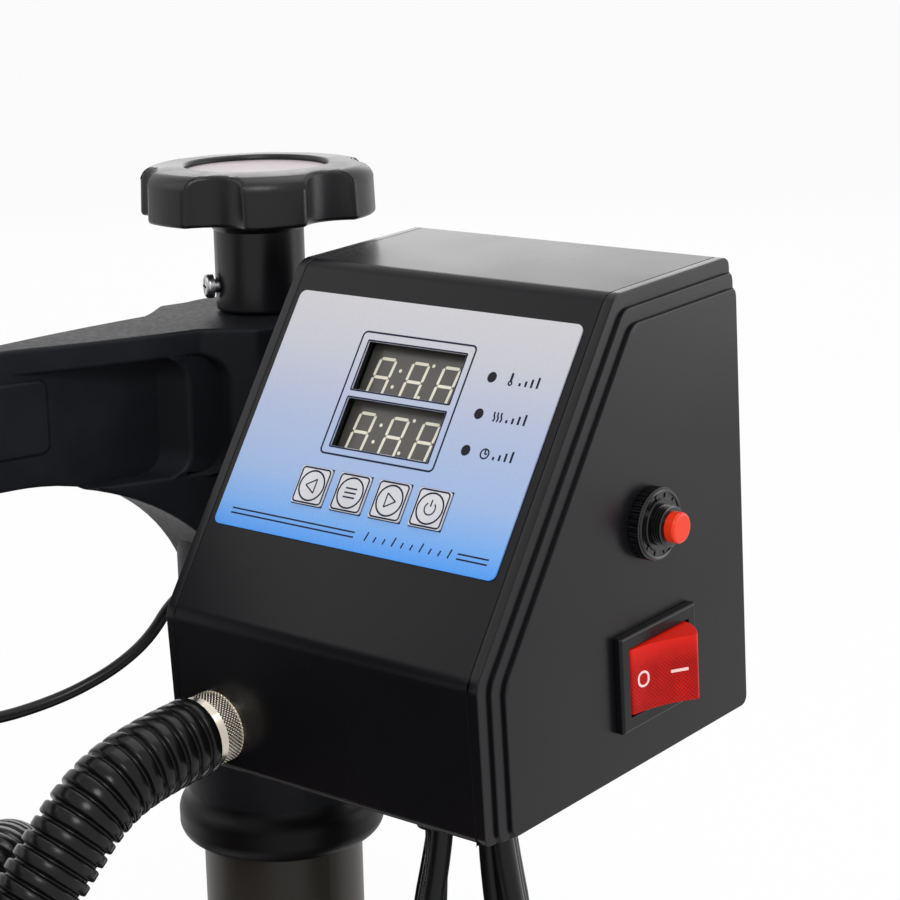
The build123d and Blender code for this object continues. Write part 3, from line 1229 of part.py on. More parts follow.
HOSE_BEND = [(78.6, -106.5, 1.5), (79.0, -120.5, -13.5), (78.5, -139.0, -35.0), (74.0, -150.0, -62.0),
             (64.0, -147.0, -92.0), (48.0, -132.0, -114.0), (29.0, -112.0, -123.0), (11.0, -93.0, -117.0),
             (-2.0, -80.0, -100.0), (-8.0, -76.0, -78.0), (-4.0, -83.0, -56.0), (8.0, -95.0, -42.0),
             (30.0, -108.0, -29.5), (42.0, -120.0, -27.5), (47.5, -134.0, -31.5)]
SENSOR_BEND = [(25.5, -50.5, 28.5), (20.0, -54.8, 17.5), (16.0, -63.0, 10.0), (12.0, -74.0, 4.5),
               (9.0, -85.0, 1.5), (7.0, -97.0, 0.2), (6.0, -113.0, 1.5), (5.5, -130.0, 5.5),
               (5.0, -148.0, 10.5), (5.0, -168.0, 16.5), (5.0, -190.0, 23.0), (5.0, -212.0, 28.0)]


def hose_path():
    outs = (FITTING_LENGTH, FITTING_LENGTH + HOSE_START)
    start = [place_of(BOX * Pos(FITTING_X, -out, FITTING_Z)) for out in outs]
    rear = PLATEN_Y + COVER_HALF_DEPTH + FITTING_LENGTH
    end = [(PLATEN_FITTING_X, rear + out, PLATEN_FITTING_Z) for out in (HOSE_END, 0)]
    return cord_path(start + [machine_point(*point) for point in HOSE_BEND] + end, "hose")


def corrugated_hose():
    """The ribbed hose: ribs as ruled lofts along one path, and a bore through them."""
    path = hose_path()
    ribs = int((path.length - 2 * HOSE_FLANK) // HOSE_PITCH)
    margin = (path.length - ribs * HOSE_PITCH) / 2
    flat = (HOSE_PITCH - HOSE_CREST) / 2 - HOSE_FLANK
    stations = [(0.0, HOSE_GROOVE)]
    for rib in range(ribs):
        start = margin + rib * HOSE_PITCH + flat
        crest_end = start + HOSE_FLANK + HOSE_CREST
        stations += [(start, HOSE_GROOVE), (start + HOSE_FLANK, HOSE_RADIUS),
                     (crest_end, HOSE_RADIUS), (crest_end + HOSE_FLANK, HOSE_GROOVE)]
    stations.append((path.length, HOSE_GROOVE))
    steady = Vector(0, 0, 1)
    rings = []
    bores = []
    for distance, radius in stations:
        spot = path.position_at(distance, position_mode=PositionMode.LENGTH)
        along = path.tangent_at(distance, position_mode=PositionMode.LENGTH)
        steady = (steady - along * steady.dot(along)).normalized()
        plane = Plane(origin=spot, x_dir=steady, z_dir=along)
        rings.append(plane * Circle(radius))
        bores.append(plane * Circle(HOSE_BORE))
    print("hose length", round(path.length, 1), "ribs", ribs)
    return loft(rings, ruled=True) - loft(bores[::4] + [bores[-1]], ruled=True)


def sensor_cable():
    grommet_x = -2 * CAP_STEP_OUT - 2
    start = [place_of(BOX * Pos(grommet_x - out, GROMMET_Y, GROMMET_Z)) for out in (0, SENSOR_START)]
    switch = machine_point(5, HEAD_REAR + 3, HEAD_BOTTOM - 5)
    end = [(switch[0], switch[1] + 15, switch[2]), switch]
    path = cord_path(start + [machine_point(*point) for point in SENSOR_BEND] + end, "sensor cable")
    return tube(path, SENSOR_RADIUS, "sensor cable")


HANK_FIRST = -HANK_LOOPS * HANK_PITCH / 2
GLAND_END = place_of(BOX * Pos(GLAND_X, GLAND_Y, -GLAND_LENGTH))
HANK_BELOW_GLAND = Pos(GLAND_END[0], GLAND_END[1], BOX_FOOT_HEIGHT + HANK_WAIST_Z)
HANK = HANK_BELOW_GLAND * Rot(0, 0, HANK_TURN) * Pos(-HANK_ASIDE, -HANK_FIRST, 0)


def hank_route():
    """The hank's corners and radii: wide and narrow loops in turn, each climbing to the next."""
    gland = HANK.inverse() * BOX * Pos(GLAND_X, GLAND_Y, -GLAND_LENGTH)
    points = [place_of(gland * Pos(0, 0, -out)) for out in (0, HANK_LEAD)]
    radii = [HANK_LEAD_BEND]
    for loop in range(HANK_LOOPS):
        size = loop % 2
        other = 1 - size
        here = HANK_FIRST + loop * HANK_PITCH
        after = here + HANK_PITCH
        points += [(HANK_WAIST[size], here, 0), (HANK_FOOT[size], here, -HANK_DOWN),
                   (-HANK_FOOT[size], here, -HANK_DOWN), (-HANK_WAIST[other], after, 0),
                   (-HANK_HEAD[other], after, HANK_UP), (HANK_HEAD[other], after, HANK_UP)]
        radii += [HANK_WAIST_BEND, HANK_FOOT_BEND[size], HANK_FOOT_BEND[size],
                  HANK_WAIST_BEND, HANK_HEAD_BEND[other], HANK_HEAD_BEND[other]]
    last = HANK_FIRST + HANK_LOOPS * HANK_PITCH
    points += [(HANK_WAIST[HANK_LOOPS % 2], last, 0), (HANK_FOOT[HANK_LOOPS % 2], last, -HANK_DOWN),
               (HANK_FOOT[HANK_LOOPS % 2], last, -HANK_DOWN - HANK_TAIL)]
    radii += [HANK_WAIST_BEND, HANK_LEAD_BEND]
    return points, radii


def least_gap(path, step):
    """The least clear space between turns of the cord, on points along it more than a turn's arc apart."""
    count = int(path.length / step)
    spots = [path.position_at(index * step, position_mode=PositionMode.LENGTH) for index in range(count)]
    apart = int(6 * CORD_RADIUS * math.pi / step)
    least = min((a - b).length for index, a in enumerate(spots) for b in spots[index + apart:])
    return least - 2 * CORD_RADIUS


def mains_hank():
    points, radii = hank_route()
    path = FilletPolyline(*points, radius=radii)
    print("hank least gap", round(least_gap(path, 2.0), 2))
    return HANK * tube(path, CORD_RADIUS, "mains cord")


def hank_tie():
    """The band round the hank's waist."""
    turn = math.atan2(HANK_HEAD[0] - HANK_WAIST[0], HANK_UP)
    turn += math.atan2(HANK_FOOT[0] - HANK_WAIST[0], HANK_DOWN)
    waist = HANK_WAIST[0] + HANK_WAIST_BEND * (1 / math.cos(turn / 2) - 1)
    width = 2 * (waist + CORD_RADIUS + TIE_GAP)
    depth = HANK_LOOPS * HANK_PITCH + 2 * (CORD_RADIUS + TIE_GAP)
    z = (-TIE_HEIGHT / 2, TIE_HEIGHT / 2)
    band = plate(width + 2 * TIE_WALL, depth + 2 * TIE_WALL, CORD_RADIUS + TIE_WALL, z)
    return HANK * (band - plate(width, depth, CORD_RADIUS, z))


def mains_plug():
    """The plug that hangs from the end of the cord, its blades down."""
    body = plate(PLUG_WIDTH, PLUG_DEPTH_ACROSS, 6, (-RELIEF_LENGTH - PLUG_LENGTH, -RELIEF_LENGTH))
    body = fillet(body.faces().sort_by(Axis.Z)[-1].edges(), 4)
    body += Pos(0, 0, -RELIEF_LENGTH) * Cone(CORD_RADIUS + 4, CORD_RADIUS + 1.2, RELIEF_LENGTH,
                                             align=(Align.CENTER, Align.CENTER, Align.MIN))
    tip = -RELIEF_LENGTH - PLUG_LENGTH
    for side in (-1, 1):
        x = side * BLADE_SPREAD / 2
        body += block((x - BLADE_THICKNESS / 2, x + BLADE_THICKNESS / 2),
                      (-BLADE_WIDTH / 2 - 3, BLADE_WIDTH / 2 - 3), (tip - BLADE_LENGTH, tip))
    body += rod("Z", GROUND_PIN_RADIUS, (tip - GROUND_PIN_LENGTH, tip), (0, GROUND_PIN_OFFSET))
    last = HANK_FIRST + HANK_LOOPS * HANK_PITCH
    return HANK * Pos(HANK_FOOT[HANK_LOOPS % 2], last, -HANK_DOWN - HANK_TAIL) * body


save("corrugated_hose", corrugated_hose())
save("sensor_cable", sensor_cable())
save("mains_hank", mains_hank())
save("hank_tie", hank_tie())
save("mains_plug", mains_plug())
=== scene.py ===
# %% [markdown]
# # A swing-away heat press, seen close to its control box
# The press stands on a bench: a steel base with a fixed platen, a post at the back, and a cast arm that
# swings round the post and carries the hot platen. The control box rides on the arm. Every rigid solid
# comes from the CAD model, and this lesson adds what a CAD model doesn't hold: camera, light, finishes,
# printed marks, rounded edges, knurls, and the hose and cords.

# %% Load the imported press
import json
import math

import bmesh
import bpy
from mathutils import Matrix, Vector
from mathutils.bvhtree import BVHTree

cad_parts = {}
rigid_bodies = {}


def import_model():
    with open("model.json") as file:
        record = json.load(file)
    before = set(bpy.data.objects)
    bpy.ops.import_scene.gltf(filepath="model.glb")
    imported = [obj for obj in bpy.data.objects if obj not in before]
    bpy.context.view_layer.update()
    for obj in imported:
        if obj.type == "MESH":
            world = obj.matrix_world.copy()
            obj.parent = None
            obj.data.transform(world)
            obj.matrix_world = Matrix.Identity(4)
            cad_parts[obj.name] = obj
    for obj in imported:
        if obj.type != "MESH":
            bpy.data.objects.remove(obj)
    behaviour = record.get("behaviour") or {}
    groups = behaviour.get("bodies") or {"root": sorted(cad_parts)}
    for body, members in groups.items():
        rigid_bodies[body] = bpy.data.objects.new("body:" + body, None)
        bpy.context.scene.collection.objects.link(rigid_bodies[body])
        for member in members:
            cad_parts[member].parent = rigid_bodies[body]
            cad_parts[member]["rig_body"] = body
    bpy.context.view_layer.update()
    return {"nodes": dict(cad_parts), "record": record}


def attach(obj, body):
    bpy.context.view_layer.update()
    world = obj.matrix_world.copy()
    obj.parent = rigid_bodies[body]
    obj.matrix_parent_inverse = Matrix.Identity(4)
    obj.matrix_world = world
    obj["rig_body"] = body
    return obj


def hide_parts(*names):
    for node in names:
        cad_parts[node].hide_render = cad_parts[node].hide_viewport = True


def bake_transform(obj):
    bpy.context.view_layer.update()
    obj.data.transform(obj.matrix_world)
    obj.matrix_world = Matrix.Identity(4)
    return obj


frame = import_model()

# %% [markdown]
# ## Places in millimetres
# A drawing of a machine is in millimetres, and Blender works in metres. Each frame below is a matrix that
# carries millimetres on one part of the press to metres in the scene, so a mark that is measured on the
# sloping panel is written as it is measured there.

# %% Frames on the machine
MM = 0.001
POST_Y = 165.0
BOX_FOOT_HEIGHT = 232.0
BOX_CORNER = (54.96, -68.34, -4.29)
BOX_TURN = 12.0
BOX_DROOP = 3.14
BOX_WIDTH = 105.0
BOX_DEPTH = 110.3
BOX_HEIGHT = 123.2
BOX_FRONT_HEIGHT = 41.3
BOX_TOP_SETBACK = 60.6
CAP_FACE = BOX_WIDTH + 2.0


def moved(x, y, z):
    return Matrix.Translation((x, y, z))


def turned(degrees, axis):
    return Matrix.Rotation(math.radians(degrees), 4, axis)


SCENE = Matrix.Scale(MM, 4)
MACHINE = SCENE @ moved(0, POST_Y, BOX_FOOT_HEIGHT)
BOX = MACHINE @ moved(*BOX_CORNER) @ turned(BOX_TURN, "Z") @ turned(BOX_DROOP, "X")
slope_angle = math.degrees(math.atan2(BOX_HEIGHT - BOX_FRONT_HEIGHT, BOX_TOP_SETBACK))
SLOPE = BOX @ moved(0, 0, BOX_FRONT_HEIGHT) @ turned(slope_angle, "X")
SIDEWAYS = Matrix(((0, 0, 1, 0), (1, 0, 0, 0), (0, 1, 0, 0), (0, 0, 0, 1)))
RIGHT_SIDE = BOX @ moved(CAP_FACE, 0, 0) @ SIDEWAYS
print("panel leans", round(slope_angle, 1), "degrees")

# %% [markdown]
# ## The camera
# The picture was taken from the front right, a little above the box, with a long lens. The box's twelve
# corners and the edges of the post fix the camera's place, its aim and its focal length together.

# %% Camera
CAMERA_PLACE = (583.23, -219.9, 456.87)
CAMERA_AIM = Vector((-0.76809, 0.5961, -0.23388))
CAMERA_DOWN = Vector((0.17062, -0.16152, -0.97201))
CAMERA_LENS = 97.54

lens = bpy.data.cameras.new("press_camera")
lens.lens = CAMERA_LENS
lens.sensor_width = 36.0
lens.clip_start = 0.01
lens.clip_end = 50.0
camera = bpy.data.objects.new("press_camera", lens)
bpy.context.scene.collection.objects.link(camera)
back = -CAMERA_AIM.normalized()
up = -CAMERA_DOWN.normalized()
side = up.cross(back).normalized()
up = back.cross(side)
camera_turn = Matrix((side, up, back)).transposed().to_4x4()
camera.matrix_world = Matrix.Translation(Vector(CAMERA_PLACE) * MM) @ camera_turn
bpy.context.scene.camera = camera

# %% [markdown]
# ## Shader maths in Python
# A finish is a small network of nodes. `Finish` owns one material, and `Signal` wraps one socket, so that
# a plus or a times in Python adds the Math node that does it. Everything else goes through `node`.


# %% Finish and Signal
class Signal:
    """A value that varies over a surface. Python's own maths on it adds Math nodes."""

    def __init__(self, finish, socket):
        self.finish = finish
        self.socket = socket

    def math(self, operation, *values):
        return self.finish.node("Math", {"operation": operation}, dict(enumerate(values)))

    def __add__(self, other):
        return self.math("ADD", self, other)

    def __sub__(self, other):
        return self.math("SUBTRACT", self, other)

    def __mul__(self, other):
        return self.math("MULTIPLY", self, other)


def rgb(red, green, blue):
    """A colour as it is read off a screen, 0 to 255, made linear."""
    values = [level / 255 for level in (red, green, blue)]
    linear = [v / 12.92 if v <= 0.04045 else ((v + 0.055) / 1.055) ** 2.4 for v in values]
    return (*linear, 1.0)


class Finish:
    """One material, built from its principled shader."""

    def __init__(self, name, colour, roughness=0.5, metallic=0.0, **settings):
        self.material = bpy.data.materials.new(name)
        self.material.use_nodes = True
        self.tree = self.material.node_tree
        self.shader = self.tree.nodes["Principled BSDF"]
        self.coords = self.node("TexCoord", output="Object")
        self.surface(colour=colour, roughness=roughness, metallic=metallic)
        for socket, value in settings.items():
            self.feed(self.shader.inputs[socket.replace("_", " ").title().replace("Ior", "IOR")], value)

    def feed(self, socket, value):
        if isinstance(value, Signal):
            self.tree.links.new(value.socket, socket)
        else:
            socket.default_value = value

    def node(self, kind, settings=None, inputs=None, output=0):
        made = self.tree.nodes.new("ShaderNode" + kind)
        settings = dict(settings or {})
        stops = settings.pop("stops", [])
        for name, value in settings.items():
            setattr(made, name, value)
        for place, colour in stops[2:]:
            made.color_ramp.elements.new(place)
        for element, (place, colour) in zip(made.color_ramp.elements if stops else [], stops):
            element.position = place
            element.color = colour
        for name, value in (inputs or {}).items():
            self.feed(made.inputs[name], value)
        return Signal(self, made.outputs[output])

    def surface(self, colour=None, roughness=None, metallic=None, normal=None, emission=None):
        sockets = {"Base Color": colour, "Roughness": roughness, "Metallic": metallic, "Normal": normal,
                   "Emission Color": emission}
        for name, value in sockets.items():
            if value is not None:
                self.feed(self.shader.inputs[name], value)
        return self

    def noise(self, scale, detail=2.0, stretch=(1, 1, 1), roughness=0.5):
        place = self.coords
        if stretch != (1, 1, 1):
            place = self.node("Mapping", {"vector_type": "POINT"}, {"Vector": self.coords, "Scale": stretch})
        inputs = {"Vector": place, "Scale": scale, "Detail": detail, "Roughness": roughness}
        return self.node("TexNoise", {}, inputs)

    def mix(self, share, first, second):
        return self.node("Mix", {"data_type": "RGBA"}, {0: share, 6: first, 7: second}, output=2)

    def spread(self, signal, low, high, new_low=0.0, new_high=1.0):
        """The signal's range low to high, carried to a new range and held there."""
        return self.node("MapRange", {"clamp": True}, {"Value": signal, "From Min": low, "From Max": high,
                                                      "To Min": new_low, "To Max": new_high})

    def along(self, place, axis):
        """How far a point lies along one axis of a frame, in that frame's millimetres."""
        direction = (place.to_3x3() @ Vector(axis)).normalized()
        inputs = {0: self.coords, 1: direction}
        far = self.node("VectorMath", {"operation": "DOT_PRODUCT"}, inputs, output="Value")
        return (far - place.translation.dot(direction)) * (1 / MM)

    def bump(self, height, depth, strength=1.0, over=None):
        """A height signal from 0 to 1 as relief, depth in millimetres."""
        inputs = {"Height": height, "Distance": depth * MM, "Strength": strength}
        if over is not None:
            inputs["Normal"] = over
        return self.node("Bump", {}, inputs)


# %% [markdown]
# ## Finishes
# The press is mostly black, and what tells its blacks apart is how they scatter light: the box has a fine
# powder coat, the casting is thick satin paint over a sandy skin, the knob is moulded with a leathery
# grain, and the hose is smooth plastic. Each finish below varies roughness and relief at its own scale.


# %% Painted steel, castings and plastics
def powder_coat(name, colour, roughness, grain=900.0, depth=0.012, gloss=0.5):
    """Sprayed paint: an even colour, a fine orange peel, and slightly uneven gloss."""
    coat = Finish(name, colour, specular_ior_level=gloss)
    peel = coat.noise(grain, 3.0)
    cloud = coat.noise(14.0, 3.0)
    dark = tuple(level * 0.8 for level in colour[:3]) + (1.0,)
    coat.surface(colour=coat.mix(coat.spread(cloud, 0.35, 0.65), dark, colour))
    coat.surface(roughness=coat.spread(cloud, 0.3, 0.7, roughness - 0.04, roughness + 0.04))
    return coat.surface(normal=coat.bump(peel, depth))


def cast_paint(name, colour, roughness, gloss=0.5):
    """Thick paint over sand-cast iron: broad soft unevenness under a fine sandy skin."""
    coat = Finish(name, colour, specular_ior_level=gloss)
    broad = coat.bump(coat.noise(45.0, 3.0), 0.35)
    sandy = coat.noise(650.0, 4.0, roughness=0.6)
    worn = coat.noise(30.0, 5.0)
    pale = tuple(min(1.0, level * 1.5 + 0.003) for level in colour[:3]) + (1.0,)
    coat.surface(colour=coat.mix(coat.spread(worn, 0.45, 0.75), colour, pale))
    coat.surface(roughness=coat.spread(sandy, 0.3, 0.7, roughness - 0.06, roughness + 0.06))
    return coat.surface(normal=coat.bump(sandy, 0.05, over=broad))


def moulded_plastic(name, colour, roughness, grain=1400.0, depth=0.02, gloss=0.5):
    """Moulded plastic: a matt grain left by the mould, even colour, slight handling marks."""
    skin = Finish(name, colour, specular_ior_level=gloss)
    grains = skin.noise(grain, 2.0)
    marks = skin.noise(60.0, 4.0, stretch=(1, 1, 0.3))
    pale = tuple(min(1.0, level * 1.25 + 0.002) for level in colour[:3]) + (1.0,)
    skin.surface(colour=skin.mix(skin.spread(marks, 0.4, 0.8), colour, pale))
    skin.surface(roughness=skin.spread(marks, 0.3, 0.7, roughness - 0.05, roughness + 0.05))
    return skin.surface(normal=skin.bump(grains, depth))


def bare_metal(name, colour, roughness, stretch=(1, 1, 1), streak=400.0):
    """Bare or plated metal: fine streaks the way it was brushed or drawn, and a little tarnish."""
    metal = Finish(name, colour, metallic=1.0)
    streaks = metal.noise(streak, 4.0, stretch=stretch)
    tarnish = metal.noise(25.0, 4.0)
    dull = tuple(level * 0.78 for level in colour[:3]) + (1.0,)
    metal.surface(colour=metal.mix(metal.spread(tarnish, 0.4, 0.75), colour, dull))
    metal.surface(roughness=metal.spread(streaks, 0.3, 0.7, roughness - 0.08, roughness + 0.1))
    return metal.surface(normal=metal.bump(streaks, 0.01))


box_coat = powder_coat("black_powder_coat", rgb(18, 18, 21), 0.28, gloss=0.16)
cap_coat = powder_coat("cap_powder_coat", rgb(18, 18, 21), 0.26, gloss=0.22)
frame_coat = powder_coat("frame_powder_coat", rgb(24, 24, 25), 0.44, grain=700.0, depth=0.02, gloss=0.3)
cast_coat = cast_paint("painted_casting", rgb(25, 26, 30), 0.5, gloss=0.1)
post_coat = powder_coat("post_paint", rgb(52, 48, 42), 0.4, grain=500.0, gloss=0.3)
black_plastic = moulded_plastic("black_moulding", rgb(12, 12, 13), 0.42, gloss=0.14)
knob_plastic = moulded_plastic("knob_moulding", rgb(17, 17, 20), 0.32, gloss=0.3, grain=1100.0, depth=0.03)
switch_plastic = moulded_plastic("switch_moulding", rgb(11, 11, 13), 0.3, gloss=0.2)
nut_plastic = moulded_plastic("nut_moulding", rgb(14, 14, 15), 0.24, gloss=0.5)
cord_plastic = moulded_plastic("cord_sheath", rgb(9, 9, 10), 0.32, grain=2500.0, depth=0.008, gloss=0.25)
hose_plastic = moulded_plastic("hose_plastic", rgb(11, 11, 12), 0.24, grain=900.0, depth=0.008, gloss=0.22)
rubber = moulded_plastic("foot_rubber", rgb(20, 20, 20), 0.75, grain=700.0, gloss=0.3)
grip_foam = moulded_plastic("grip_foam", rgb(24, 24, 24), 0.85, grain=450.0, depth=0.15, gloss=0.25)
cap_grey = moulded_plastic("knob_disc_grey", rgb(165, 155, 158), 0.45)
silicone = moulded_plastic("silicone_sponge", rgb(192, 104, 72), 0.7, grain=600.0, depth=0.08)
zinc = bare_metal("zinc_plate", rgb(196, 196, 198), 0.32)
nickel = bare_metal("nickel_plate", rgb(206, 198, 184), 0.24)
bronze = bare_metal("bronze", rgb(190, 160, 110), 0.35)
platen_metal = bare_metal("milled_aluminium", rgb(198, 198, 200), 0.36, stretch=(1, 30, 1), streak=60.0)
heater_steel = bare_metal("heater_steel", rgb(150, 145, 140), 0.45)
insulation = moulded_plastic("insulation_felt", rgb(222, 216, 204), 0.9, grain=350.0, depth=0.3)
board_green = moulded_plastic("circuit_board", rgb(30, 90, 55), 0.4)

# %% [markdown]
# ## The panel's colours
# The panel is a printed film. Its ground runs from warm grey at the top, through lavender, to a strong sky
# blue at the bottom edge, so the colour follows the height up the slope and nothing else.

# %% Panel film, windows and red plastics
LABEL_BOTTOM = 25.7
LABEL_TOP = 93.0


def panel_film():
    film = Finish("panel_film", rgb(190, 195, 215), roughness=0.3)
    height = film.spread(film.along(SLOPE, (0, 1, 0)), LABEL_BOTTOM, LABEL_TOP)
    stops = [(0.0, rgb(60, 150, 240)), (0.1, rgb(112, 170, 238)), (0.26, rgb(154, 182, 226)),
             (0.55, rgb(176, 187, 216)), (0.8, rgb(197, 198, 208)), (1.0, rgb(204, 202, 206))]
    ground = film.node("ValToRGB", {"stops": stops}, {"Fac": height})
    grain = film.noise(1800.0, 2.0)
    film.surface(colour=ground, roughness=film.spread(grain, 0.3, 0.7, 0.26, 0.36))
    return film.surface(normal=film.bump(grain, 0.004))


film = panel_film()
display_face = moulded_plastic("display_face", rgb(72, 70, 66), 0.35)
segment_cream = moulded_plastic("segment_cream", rgb(236, 231, 212), 0.5)
ink = moulded_plastic("navy_ink", rgb(18, 24, 50), 0.4, gloss=0.12)
lamp_dark = moulded_plastic("dark_lamp", rgb(20, 20, 30), 0.4, gloss=0.15)
key_film = moulded_plastic("key_film", rgb(206, 206, 210), 0.32)
button_red = moulded_plastic("button_red", rgb(240, 56, 24), 0.2, gloss=0.3)
mark_white = moulded_plastic("switch_mark", rgb(250, 205, 200), 0.4)

# %% [markdown]
# ## The rocker's red
# The rocker is clear red plastic over a small chamber with a lamp in it. Its inner side is moulded with a
# fine grid of dots that scatter the light, so the face is bright red with rows of darker points. A real prism
# pattern can't be seen at this size: two sine waves, one along the face and one up it, give the grid. The
# red is also given a faint glow, which is painted light and not the lamp's, and towards the top of the face
# it turns a brighter, more orange red without dots: a painted highlight.

# %% Rocker finish
ROCKER_PLACE = (CAP_FACE - 1.2, 67.4, 24.9)
ROCKER_TILT = 24.0
ROCKER = BOX @ moved(*ROCKER_PLACE) @ turned(-ROCKER_TILT, "Z") @ SIDEWAYS
ROCKER_DOT_PITCH = 1.1


def rocker_finish():
    # The emission strength below gives the red a faint glow of its own: painted light.
    red = Finish("rocker_red", rgb(200, 20, 10), roughness=0.2, specular_ior_level=0.14,
                 emission_strength=0.2)
    turn = 2 * math.pi / ROCKER_DOT_PITCH
    waves = [red.along(ROCKER, axis) * turn for axis in ((1, 0, 0), (0, 1, 0))]
    grid = waves[0].math("SINE", waves[0]) * waves[1].math("SINE", waves[1])
    cloud = red.noise(220.0, 3.0)
    lit = red.mix(red.spread(cloud, 0.3, 0.7), rgb(158, 8, 4), rgb(186, 16, 8))
    dotted = red.mix(red.spread(grid, 0.15, 0.6), lit, rgb(112, 5, 3))
    # Higher up the face the red turns brighter and more orange and loses its dots, a painted highlight at the
    # top; this colour also feeds the emission, a painted glow.
    colour = red.mix(red.spread(red.along(ROCKER, (0, 1, 0)), 2.0, 9.0), dotted, rgb(204, 30, 18))
    return red.surface(colour=colour, emission=colour)


rocker_red = rocker_finish()
print("rocker dots", ROCKER_DOT_PITCH, "mm apart")

# %% [markdown]
# ## Dress the CAD nodes
# Each node of the press gets the finish of its real material. The table is by finish, so that one line
# says everything that is cast, or plated, or moulded.

# %% Finishes of the CAD nodes
NODE_FINISHES = {
    frame_coat: ["base_frame", "link_bracket", "handle_lever", "toggle_link", "box_bracket", "platen_cover"],
    rubber: ["rubber_feet"],
    zinc: ["base_screws", "post_plug", "pivot_pin", "crank_pin", "lower_pins", "guide_rods", "platen_studs",
           "platen_screws", "box_screws", "adjusting_screw", "knob_lock_screw"],
    platen_metal: ["lower_platen", "heated_platen"],
    silicone: ["silicone_pad"],
    post_coat: ["post_tube"],
    bronze: ["thrust_washer", "sleeve_bushes", "guide_bushes"],
    cast_coat: ["swing_arm"],
    black_plastic: ["rail_end_caps", "sleeve_collar", "limit_switch", "cable_glands", "hank_tie"],
    knob_plastic: ["pressure_knob"],
    switch_plastic: ["switch_frame"],
    nut_plastic: ["breaker_body", "breaker_nut"],
    cap_grey: ["knob_cap"],
    box_coat: ["box_shell"],
    cap_coat: ["side_cap_right", "side_cap_left"],
    film: ["panel_label"],
    display_face: ["display_modules"],
    lamp_dark: ["indicator_lamps"],
    board_green: ["control_board"],
    key_film: ["key_1", "key_2", "key_3", "key_4"],
    rocker_red: ["rocker"],
    button_red: ["breaker_button"],
    nickel: ["box_hose_fitting", "platen_hose_fitting"],
    insulation: ["insulation_board"],
    heater_steel: ["heater_element", "power_parts"],
    grip_foam: ["handle_grip"],
    cord_plastic: ["corrugated_hose", "sensor_cable", "mains_hank", "mains_plug"],
}


def dress(piece, finish):
    """One finish all over a piece, in its first material slot."""
    piece.data.materials.clear()
    piece.data.materials.append(finish.material)


for finish, names in NODE_FINISHES.items():
    for name in names:
        dress(frame["nodes"][name], finish)
undressed = set(frame["nodes"]) - {name for names in NODE_FINISHES.values() for name in names}
print("nodes without a finish:", sorted(undressed))

# %% [markdown]
# ## Floor and light
# The press stands in a white studio. Large soft lamps from the left, the right, above and behind give the
# black paint long pale reflections, which is all that shows the shape of a black box, and a small lamp
# near the camera draws the thin bright lines on its rounded edges. The floor and the world are white to
# the camera and to reflections, and plainer to diffuse light, so colours stay as written.

# %% Floor, world and lamps
WORLD_DIFFUSE = 0.62
floor_mesh = bpy.data.meshes.new("studio_floor")
floor_shape = bmesh.new()
bmesh.ops.create_grid(floor_shape, x_segments=1, y_segments=1, size=12.0)
floor_shape.to_mesh(floor_mesh)
floor_shape.free()
floor = bpy.data.objects.new("studio_floor", floor_mesh)
bpy.context.scene.collection.objects.link(floor)


def seen_directly(finish_like):
    """One where the camera or a mirror sees the surface, nought for other light."""
    path = finish_like.node("LightPath", output="Is Camera Ray")
    mirror = finish_like.node("LightPath", output="Is Glossy Ray")
    through = finish_like.node("LightPath", output="Is Transmission Ray")
    return path.math("MAXIMUM", path, path.math("MAXIMUM", mirror, through))


floor_finish = Finish("pale_floor", rgb(240, 240, 240), roughness=0.9)
glow = floor_finish.node("Emission", {}, {"Color": (1, 1, 1, 1), "Strength": 1.0})
shader_out = Signal(floor_finish, floor_finish.shader.outputs[0])
white_share = seen_directly(floor_finish) * 0.9
blend = floor_finish.node("MixShader", {}, {0: white_share, 1: shader_out, 2: glow})
floor_finish.feed(floor_finish.tree.nodes["Material Output"].inputs["Surface"], blend)
dress(floor, floor_finish)

world = bpy.data.worlds.new("white_studio")
bpy.context.scene.world = world
world.use_nodes = True


class Sky(Finish):
    """The world's tree, with the same ways of adding nodes as a finish."""

    def __init__(self, tree):
        self.tree = tree


sky = Sky(world.node_tree)
background = world.node_tree.nodes["Background"]
background.inputs["Color"].default_value = (1, 1, 1, 1)
direct = seen_directly(sky)
sky.feed(background.inputs["Strength"], direct * (1.0 - WORLD_DIFFUSE) + WORLD_DIFFUSE)


def soft_lamp(name, place, target, size, power):
    lamp = bpy.data.lights.new(name, "AREA")
    lamp.shape = "RECTANGLE"
    lamp.size, lamp.size_y = size
    lamp.energy = power
    holder = bpy.data.objects.new(name, lamp)
    bpy.context.scene.collection.objects.link(holder)
    aim = Vector(target) - Vector(place)
    holder.matrix_world = Matrix.Translation(place) @ aim.to_track_quat("-Z", "Y").to_matrix().to_4x4()


TARGET = (0.08, 0.12, 0.28)
soft_lamp("left_softbox", (-1.1, -1.3, 1.5), TARGET, (1.2, 1.2), 4.0)
soft_lamp("right_softbox", (1.1, 1.9, 0.45), TARGET, (1.0, 1.4), 11.0)
soft_lamp("top_softbox", (0.0, 0.6, 2.2), TARGET, (1.6, 1.6), 12.0)
soft_lamp("edge_lamp", (1.72, -0.87, 2.06), TARGET, (0.8, 0.8), 20.0)
soft_lamp("rear_softbox", (-2.0, 1.8, 0.95), TARGET, (1.6, 0.8), 6.0)
bpy.context.scene.view_settings.view_transform = "Standard"

# %% [markdown]
# ## Helpers for new pieces
# A piece is shaped in a bmesh in millimetres on its own frame. `add_piece` carries it to its place in the
# mesh itself, so that the object stays at the origin, and says which body it rides on.


